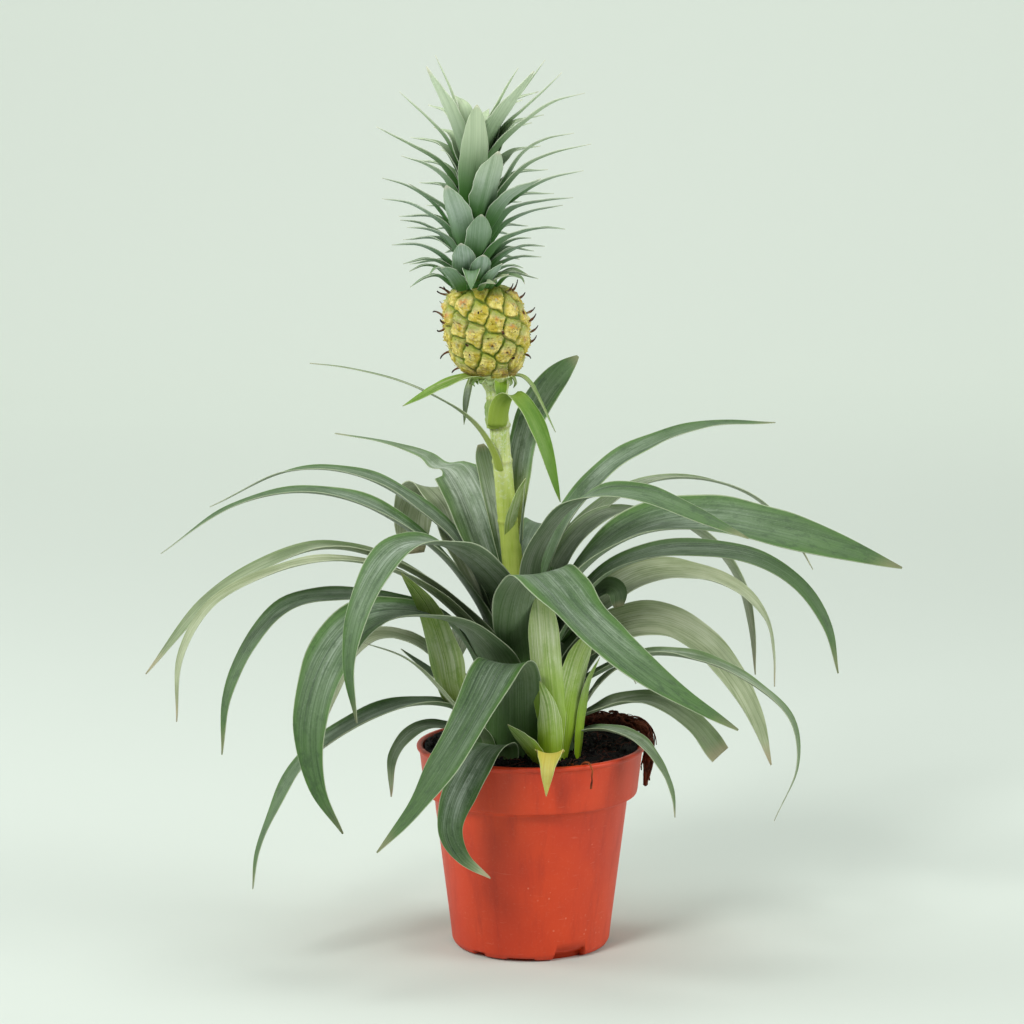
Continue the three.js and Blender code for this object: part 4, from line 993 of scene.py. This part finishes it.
def fruitPoint(bearing, z, out=0.0):
    # the place at a bearing and a height, moved out from the barrel's own radius there
    rows = np.array(fruitLook["rows"])
    radius, x = (np.interp(z, rows[:, 0], rows[:, k]) for k in (1, 2))
    return polar(radius + out, bearing, z, x)


def fruitSurface(rows=190, columns=280):
    # a barrel; its skin sinks where the two nearest eyes are equally far and swells between
    # them; the distances are taken on a slightly wavy grid, so that no two eyes are alike
    table = np.array(fruitLook["rows"])
    step = np.append(0, np.cumsum(np.hypot(*np.diff(table[:, :2], axis=0).T)))
    z = np.interp(np.linspace(0, step[-1], rows), step, table[:, 0])[:, None]
    a = circle(columns)[None]
    radius = np.maximum(np.interp(z, table[:, 0], table[:, 1]), 8.0)
    px, py, pz = np.cos(a) * radius, np.sin(a) * radius, z + 0 * a
    waveA = ripple(px * 0.5 + pz * 0.3, 71) + ripple(py * 0.5 - pz * 0.35, 72)
    waveZ = ripple(px * 0.45 - pz * 0.4, 73) + ripple(py * 0.5 + pz * 0.3, 74)
    bearing, height = fruitEyes()
    turn = ((a + 0.35 * waveA / radius)[..., None] - bearing + np.pi) % (2 * np.pi) - np.pi
    dz = (z + 0.35 * waveZ)[..., None] - height
    far = np.hypot(turn * radius[..., None], dz)
    order = np.argsort(far, axis=-1)
    own = order[..., 0]
    near, second = (np.take_along_axis(far, order[..., k : k + 1], -1)[..., 0] for k in (0, 1))
    rise = np.take_along_axis(dz, order[..., :1], -1)[..., 0]
    gap = second - near
    draw = np.random.default_rng(5)
    tone, knob = (draw.uniform(low, high, fruitLook["eyes"])[own] for low, high in ((0, 1), (0.3, 1.5)))
    swell = 1.5 * smooth(gap / 1.9) - 1.2 - 0.3 * smooth(near / 5)
    swell = swell + 0.7 * knob * np.exp(-(((near - 0.4) / 1.9) ** 2))
    lumps = ripple(px * 1.9 + pz, 75, 4) * ripple(py * 2.1 - pz * 1.3, 76, 4) * ripple(pz * 2.0 + px, 77, 3)
    swell = swell + 0.4 * lumps * smooth(gap / 2)
    return shell(fruitPoint(a, z, swell) * mm, "fan", gap=gap, near=near, rise=rise, tone=tone)


def fruitFinish():
    # grooves are green, the eyes are straw yellow, greener above, and some have ripened spots; the top under
    # the crown is darkened to the grooves' green, partly for its own small green eyes and partly as painted
    # shade
    f = Finish("fruitSkin", {"Specular IOR Level": 0.45, "Subsurface Weight": 0.05})
    p, z = f.place(), f.axis(2)
    gap, near, rise, tone = f.attributes("gap", "near", "rise", "tone")
    mottle = f.noise(p, 300.0, 4.0, 0.65)
    patch = f.noise(p, 120.0, 3.0, 0.6)
    fine = f.noise(p, 950.0, 3.0, 0.6)
    rim = gap + (mottle - 0.5) * 2.0
    speckle = fine.between(0.5, 0.62)
    base = f.coats(
        fruitLook["flesh"], fruitLook,
        ("pale", mottle.between(0.42, 0.62)),
        ("husk", rise.between(0.4, 2.2) * patch.between(0.3, 0.6) * 0.7),
        ("green", (rise + (patch - 0.5) * 9.0).between(0.8, 4.0) * 0.75),
        ("green", rim.between(1.9, 0.6) * 0.6),
        ("ripe", near.between(3.2, 0.6) * patch.between(0.47, 0.62) * 0.85),
        ("brown", speckle * near.between(3.8, 0.8) * tone * 0.95),
        ("husk", speckle * patch.between(0.42, 0.58) * 0.5),
        ("brown", rim.between(2.4, 1.2) * mottle.between(0.42, 0.6) * tone * 0.5),
        ("groove", rim.between(1.0, 0.2) * (0.5 + patch * 0.7)),
        ("brown", z.between(0.269, 0.262) * patch.between(0.4, 0.6) * 0.6),
        # the top under the crown: partly its small green eyes, partly painted shade
        ("groove", z.between(0.2965, 0.3005) * 0.6),
    )
    return f.feed(base=base, rough=0.4 + mottle * 0.24, normal=f.bump(mottle + fine * 0.5, 0.5, 0.0008))


def fruitBracts():
    # a pointed husk from the lower edge of each eye, of its own size and lean; its middle stands out
    # by a sine wave and its tip lifts off by the fourth power of the share of the way to it
    bearing, height = fruitEyes()
    n = len(bearing)
    own = np.random.default_rng(8)
    v = np.linspace(0, 1, 14)[None, :]
    curl, lean, size = (own.uniform(a, b, n)[:, None] for a, b in ((0.0, 1.0), (-0.16, 0.16), (0.55, 1.1)))
    z = height[:, None] - 3.3 + fruitLook["huskLength"] * v * size
    out = -0.5 + 1.25 * np.sin(v * 2.0) + 2.4 * curl ** 2 * v ** 4
    b = bearing[:, None] + lean * v ** 2
    middle = fruitPoint(b, np.clip(z, 259.4, 301.6), out)
    width = fruitLook["huskWidth"] * size * (1 - v ** 0.9) * smooth((v + 0.3) / 0.5)
    width = (width + 0.22)[..., None]
    u = np.sin(np.linspace(-np.pi / 2, np.pi / 2, 7))
    side = np.stack([-np.sin(b), np.cos(b), 0 * b], -1)[:, :, None]
    normal = np.stack([np.cos(b), np.sin(b), 0 * b], -1)[:, :, None]

    def face(depth):  # one side of the husk: a parabola across, lower by the depth
        drop = -(u ** 2) * width * 0.22 - depth * (1 - 0.6 * u ** 2)
        return middle[:, :, None] + side * (width / 2 * u)[..., None] + normal * drop[..., None]

    ring = np.concatenate([face(0.0), face(fruitLook["huskThickness"])[:, :, ::-1]], 2)
    return shell(ring * mm, along=v[..., None], dried=own.uniform(0.0, 1.0, n)[:, None, None])


# the leafy bracts of the fruit's foot: bearing, width, lean outwards and drop, in degrees and mm
collarRows = [
    (294, 6.4, 2.6, 12), (262, 5, 3.6, 3), (238, 4.6, 4.4, 2), (214, 4, 4.6, 3.4), (318, 4.2, 4.6, 3),
    (350, 4.6, 4.4, 4), (20, 4.8, 4.4, 5), (58, 5, 4.6, 4), (96, 4.8, 4.2, 6), (134, 5, 4.6, 4),
    (172, 4.4, 4.6, 5),
]


def collarShells():
    # narrow blades that leave the stalk's cup, lean out under the fruit and drop: their four
    # points are out by shares of the lean and down by shares of the drop
    shells = []
    x, r, z = fruitLook["cupX"], fruitLook["cupRadius"], fruitLook["cupHeight"]
    for k, (bearing, width, lean, drop) in enumerate(collarRows):
        far = r + lean * np.array([0, 0.9, 1.4, 1.2])
        height = z + np.array([-0.4, 0.6, -0.6, 0]) - drop * np.array([0, 0, 0.4, 1])
        blade = freeLeaf(bearing, width, polar(far, math.radians(bearing), height, x), hug=4.0, narrowing=0.3)
        shells.append(leafShell(blade, 400 + k, 0.5 * (k % 3 > 0), 0.5))
    return shells


# dried flower ends that curl out of the eyes: bearing, height, reach, rise and hook in mm
fruitCurls = [
    (186, 287, 5.6, 2.5, -5), (190, 283, 4.6, -1, 4), (198, 285, 3.6, 2, 2), (182, 272, 5.2, -3.5, -2.5),
    (192, 265, 4.2, -2.5, -1.5), (172, 297, 5.6, 1.8, 1.5), (186, 298, 5, 2.6, -3), (200, 298, 4, 3.5, 1),
    (-4, 289, 4.8, 2.8, 1.5), (-10, 285, 4.4, 4.2, 1), (4, 280, 4.6, 3.4, 1), (-6, 276, 4.4, 3.2, 2.6),
    (-14, 271, 3.6, -1.8, -1.6), (-12, 299, 3.6, 5.2, 4.6), (-28, 299, 3, 4, 2), (12, 295, 4, 3, 1),
    (262, 290, 2, 1.6, 0.5), (292, 283, 2.2, -1.6, 0.5), (240, 276, 2, 1.2, 0.5), (310, 270, 2.2, 0.8, 0.5),
    (50, 290, 4.4, 3, 1.5), (85, 283, 4.6, 2, -2), (120, 291, 4.6, 2.6, 2), (140, 276, 4.6, -2, 1),
    (70, 270, 4.2, -2.4, 1), (105, 297, 4.2, 3.6, 1), (150, 284, 4.4, 1, 3), (30, 276, 4.4, 2.4, -2),
]


def curlShells():
    # tapered threads: out from the skin, bending up by "rise" and over by "hook" times t squared - t
    b, z, reach, rise, hook = np.array(fruitCurls).T[..., None]
    b = np.radians(b)
    t = np.linspace(0, 1, 14)[None, :]
    out = 1.25 * reach * (t - 0.25 * t ** 3)
    line = fruitPoint(b + 0.02 * hook * t ** 2, z + 0 * t, out - 0.6)
    line[..., 2] += rise * t + hook * 0.5 * (t ** 2 - t) * 2.2
    radius = fruitLook["curlRadius"] * (1 - 0.66 * t ** 1.5) * (1 + 0.15 * ripple(t * 9 + b, 81, 3))
    return shell(tube(line * mm, radius * mm), "fan", along=(0.55 + 0.5 * t)[..., None], dried=1.0)


def bractFinish():
    # green at its foot, husk-coloured and then brown and nearly black towards its dried tip
    f = Finish("fruitHusk", {"Specular IOR Level": 0.3})
    p = f.place()
    along, dried = f.attributes("along", "dried")
    grain = f.noise(p, 500.0, 4.0, 0.6)
    patch = f.noise(p, 160.0, 2.0)
    base = f.coats(
        fruitLook["green"], fruitLook,
        ("husk", (along + (patch - 0.5)).between(0.1, 0.6)),
        ("flesh", grain.between(0.45, 0.65) * 0.6),
        ("brown", (along + (dried - 0.9) * 0.5 + (grain - 0.5) * 0.4).between(0.55, 0.8)),
        ("dry", (along + (dried - 1.0) * 0.3).between(0.75, 0.95)),
    )
    return f.feed(base=base, rough=0.6 + grain * 0.25, normal=f.bump(grain, 0.5, 0.0005))


crownLook = {
    **greenLook,
    **palette(
        upper=(134, 160, 124), upperDark=(100, 130, 90), bloom=(186, 200, 194), margin=(110, 150, 82),
        edge=(230, 234, 216), under=(146, 168, 146), underDark=(112, 140, 112), underBloom=(198, 208, 206),
        foot=(44, 98, 8), light=(206, 222, 184), tip=(210, 190, 176),
    ),
    "rough": 0.5, "footShare": 0.95, "reach": 0.78, "streak": 0.4,
    "backBlades": 40, "spiral": 61.8,  # the blades that the photograph hides, and degrees between them
    # lowest and highest of those blades, in mm: the core's middle, foot, reach, rise and width
    "backCore": (-25.5, -24), "backFoot": (302, 362), "backReach": (31, 24), "backRise": (2, 25),
    "backWidth": (6.5, 11.5),
    "coreHeight": (300.4, 366.0), "coreRadius": (11.0, 2.6), "coreX": (-25, -23.5),
}

# each blade of the front: width, shape, and the points of its middle from the core to the tip, in mm
crownRows = [
    (4.4, "long", (-25, 3, 350), (-29, 5, 365), (-35, 7, 387), (-42.5, 8, 403)),
    (12.0, "broad", (-26, -3, 346), (-30, -4, 361), (-36, -9, 378.5), (-46, -8, 398.5)),
    (5.7, "long", (-22, 4, 356), (-19.5, 5, 372), (-12.5, 7, 387), (-6, 7, 397.5)),
    (2.6, "long", (-20, 5, 360), (-15.5, 7, 372), (-7, 9, 384), (6, 10, 401)),
    (13.2, "broad", (-22, -3, 350), (-18.5, -4, 366), (-9.5, -8, 381.5), (1, -8, 396.5)),
    (3.1, "long", (-20, 4, 358), (-14, 6, 370), (-4, 8, 379.5), (5, 9, 387.5), (13.5, 9, 395.5)),
    (7.8, "long", (-22, -2, 346), (-16.5, -3, 361), (-2, -6, 375.5), (10, -6, 383.5), (23.5, -6, 387)),
    (14.2, "blunt", (-27, -8, 337), (-24.5, -13, 362), (-24, -14, 382)),
    (14.8, "blunt", (-22.5, -10, 331), (-18.5, -16, 348), (-14.5, -20, 362)),
    (5.4, "long", (-20, 2, 330), (-12, 2, 348), (-4, 3, 360.5), (6, 4, 366.5), (19, 4, 369)),
    (6.6, "long", (-20, -2, 326), (-12.5, -2, 344), (-2, -3, 355.5), (10, -3, 361), (26.5, -3, 364.5)),
    (10.5, "broad", (-19, -8, 327), (-10, -13, 341), (4, -15, 350)),
    (4.4, "long", (-14, -4, 336), (0, -6, 346), (10, -7, 350.5), (23, -7, 353)),
    (2.6, "long", (-31.5, 4, 354), (-37.5, 6, 366.5), (-45.5, 7, 375.5), (-58.5, 8, 387)),
    (5.2, "long", (-32.5, -1, 345), (-40.5, -2, 356.5), (-53.5, -2, 364.5), (-68.5, -2, 372)),
    (6.6, "long", (-32.5, -4, 337), (-38, -6, 349.5), (-46.5, -7, 356), (-57.5, -8, 359.5)),
    (14.0, "blunt", (-30, -8, 318), (-32.5, -15, 333), (-37.5, -18, 347)),
    (12.6, "blunt", (-24, -12, 314), (-23, -18, 324), (-22, -20.5, 334.5)),
    (6.6, "long", (-18.5, -4, 323), (-9, -6, 336), (5.5, -6, 340), (18.5, -6, 341)),
    (4.4, "long", (-18.5, -2, 320), (-12, -3, 329), (-0.5, -3, 335), (14, -3, 337.5)),
    (8.4, "drawn", (-22, -10, 311), (-14, -13, 322), (-5, -13, 326.5), (5.5, -12, 328.5), (15, -12, 327.5)),
    (4.6, "long", (-32.5, 0, 326), (-37.5, -1, 335.5), (-45.5, -1, 341.5), (-54.5, -1, 347)),
    (2.6, "long", (-35.5, 4, 328), (-44.5, 6, 339), (-55.5, 6, 346), (-66.5, 6, 349)),
    (5.6, "long", (-31.5, -3, 317), (-38, -5, 328), (-45, -6, 334), (-54.5, -6, 339), (-66, -6, 340.5)),
    (4.2, "long", (-33.5, 2, 316), (-40.5, 3, 324.5), (-49.5, 3, 329.5), (-58.5, 3, 330.5)),
    (6.2, "drawn", (-31, -4, 311), (-37, -7, 323), (-45.5, -8, 327.5), (-55, -8, 328)),
    (5.8, "drawn", (-32.5, -3, 307), (-40.5, -5, 316), (-50, -5, 320.5), (-62, -5, 320)),
    (4.8, "long", (-33.5, -2, 305), (-38.5, -4, 311.5), (-46.5, -4, 314), (-57, -4, 311.5)),
    (3.8, "long", (-35.5, 2, 303.5), (-42.5, 3, 310), (-48.5, 3, 310.5), (-54.5, 3, 307.5)),
    (5.4, "long", (-33.5, -6, 301), (-38, -9, 308), (-42, -10, 310.5), (-45.5, -10, 307)),
    (3.8, "long", (-34.5, -2, 301), (-41.5, -3, 306.5), (-47.5, -3, 305.5), (-54, -3, 301)),
    (4.6, "long", (-19.5, -3, 313), (-12, -4, 320.5), (-6.5, -4, 323), (0, -4, 323)),
    (5.2, "long", (-19.5, -4, 309), (-11.5, -6, 316.5), (-3.5, -6, 320), (6, -6, 319.5)),
    (4.4, "long", (-19.5, -2, 306), (-12.5, -3, 312.5), (-5, -3, 315), (4.5, -3, 314.5)),
    (4.2, "long", (-20, -5, 304), (-14, -8, 310), (-9, -8, 311.5), (-3.5, -8, 310)),
    (3.4, "dry", (-18.5, -2, 302.5), (-13, -3, 307.5), (-8, -3, 309), (-1.5, -3, 306.5)),
    (11.4, "blunt", (-30, -11, 306), (-30, -19, 315), (-31, -22.5, 322)),
    (10.0, "blunt", (-23.5, -13, 305), (-22, -20, 311.5), (-21, -23.5, 317)),
    (9.4, "blunt", (-31.5, -11, 300.5), (-35, -18, 307), (-39.5, -20, 311.5)),
    (9.0, "droop", (-26.5, -16, 308.5), (-26.5, -21.5, 309.6), (-26.5, -24, 306.4), (-26.5, -24.4, 301.6)),
    (4.6, "dry", (-18.5, -10, 301.5), (-15, -17, 306.5), (-10, -18, 308)),
    (4.4, "dry", (-22.5, -15, 301), (-19.5, -20, 305), (-16, -21, 304)),
    (3.4, "dry", (-15.5, -7, 302), (-10, -11, 307), (-4.5, -12, 306), (-3, -12, 303)),
    (6.0, "broad", (-20.5, -13, 302), (-17, -18, 308), (-13, -20, 313)),
]

bladeShapes = {
    "long": {"narrowing": 0.02, "point": 0.8, "fold": 0.3, "wider": 1.55},
    "drawn": {"narrowing": 0.02, "point": 0.7, "fold": 0.4, "wider": 1.5},
    "broad": {"narrowing": 0.35, "point": 1.7, "tipShare": 0.05, "fold": 0.5, "wider": 1.15},
    "blunt": {"narrowing": 0.25, "point": 3.6, "tipShare": 0.05, "fold": 0.9},
    "droop": {"narrowing": 0.35, "point": 0.9},
    "dry": {"narrowing": 0.2, "point": 1.3, "age": 1.0, "roll": [20, 80]},
}


def crownBlade(width, shape, *path):
    # a blade faces the way it leans, turned some way to the viewer's side of the plant
    points = np.array(path, float)
    lean = points[-1] - points[0]
    facing = math.degrees(math.atan2(lean[1] - 0.35 * abs(lean[0]) - 2.0, lean[0]))
    return {
        "points": points, "bearing": facing, "heading": facing, "ringRadius": max(3.0, width * 0.6),
        "width": width * bladeShapes[shape].get("wider", 1.0), "baseShare": 0.75, "openness": 0.62,
        "thickness": 0.9, "fine": 30, "across": 9, **bladeShapes[shape],
    }


def backBlade(k):
    # one of the spiral at the back: the blades are short and flat below and long above
    t = k / (crownLook["backBlades"] - 1)
    turn = 15 + (k * crownLook["spiral"]) % 150
    x, y = math.cos(math.radians(turn)), math.sin(math.radians(turn))
    core, foot, reach = (lerp(*crownLook[name], t) for name in ("backCore", "backFoot", "backReach"))
    reach, rise = reach * (0.8 + 0.4 * ((k * 7) % 5) / 5), lerp(*crownLook["backRise"], t ** 0.8)
    path = [(core + 5 * x, 4 * y, foot),
            (core + (5 + 0.45 * reach) * x, 0.5 * reach * y, foot + 4 + rise * 0.66),
            (core + (5 + reach) * x, reach * y, foot + rise)]
    return {**crownBlade(lerp(*crownLook["backWidth"], t), "long", *path), "bearing": turn, "heading": turn}


def crownShells():
    # the blades of the front and the back, and the cone-like core that they stand on
    shells = []
    for k, row in enumerate(crownRows):
        blade = crownBlade(*row)
        # the tone spreads the bloom from blade to blade, and a low one darkens a blade with painted shade
        shells.append(leafShell(blade, 200 + k, blade.get("age", 0.0), 0.05 + 0.75 * ((k * 5) % 7) / 7))
    shells += [leafShell(backBlade(k), 300 + k) for k in range(crownLook["backBlades"])]
    share = np.linspace(0, 1, 24)[:, None]
    height, x = lerp(*crownLook["coreHeight"], share), lerp(*crownLook["coreX"], share)
    core = polar(lerp(*crownLook["coreRadius"], share ** 0.6), circle(18), height, x)
    values = dict(across=0.0, along=0.12, upper=1.0, lane=0.0, run=0.0, age=0.0, tone=0.4)
    return [*shells, shell(core * mm, "fan", **values)]


print("stem, fruit and crown")
piece("stem-skin", [stemSurface()], stemFinish(), "stalk_skin", "stem")
piece("fruit-skin", [fruitSurface()], fruitFinish(), "fruit_skin", "fruit")
piece("fruit-collar", collarShells(), leafFinish("collarLeaf", youngLook), "young_leaf", "fruit")
piece("fruit-husks", [fruitBracts(), curlShells()], bractFinish(), "fruit_skin", "fruit")
piece("crown-leaves", crownShells(), leafFinish("crownLeafSkin", crownLook), "crown_leaf", "crown")


print("done")
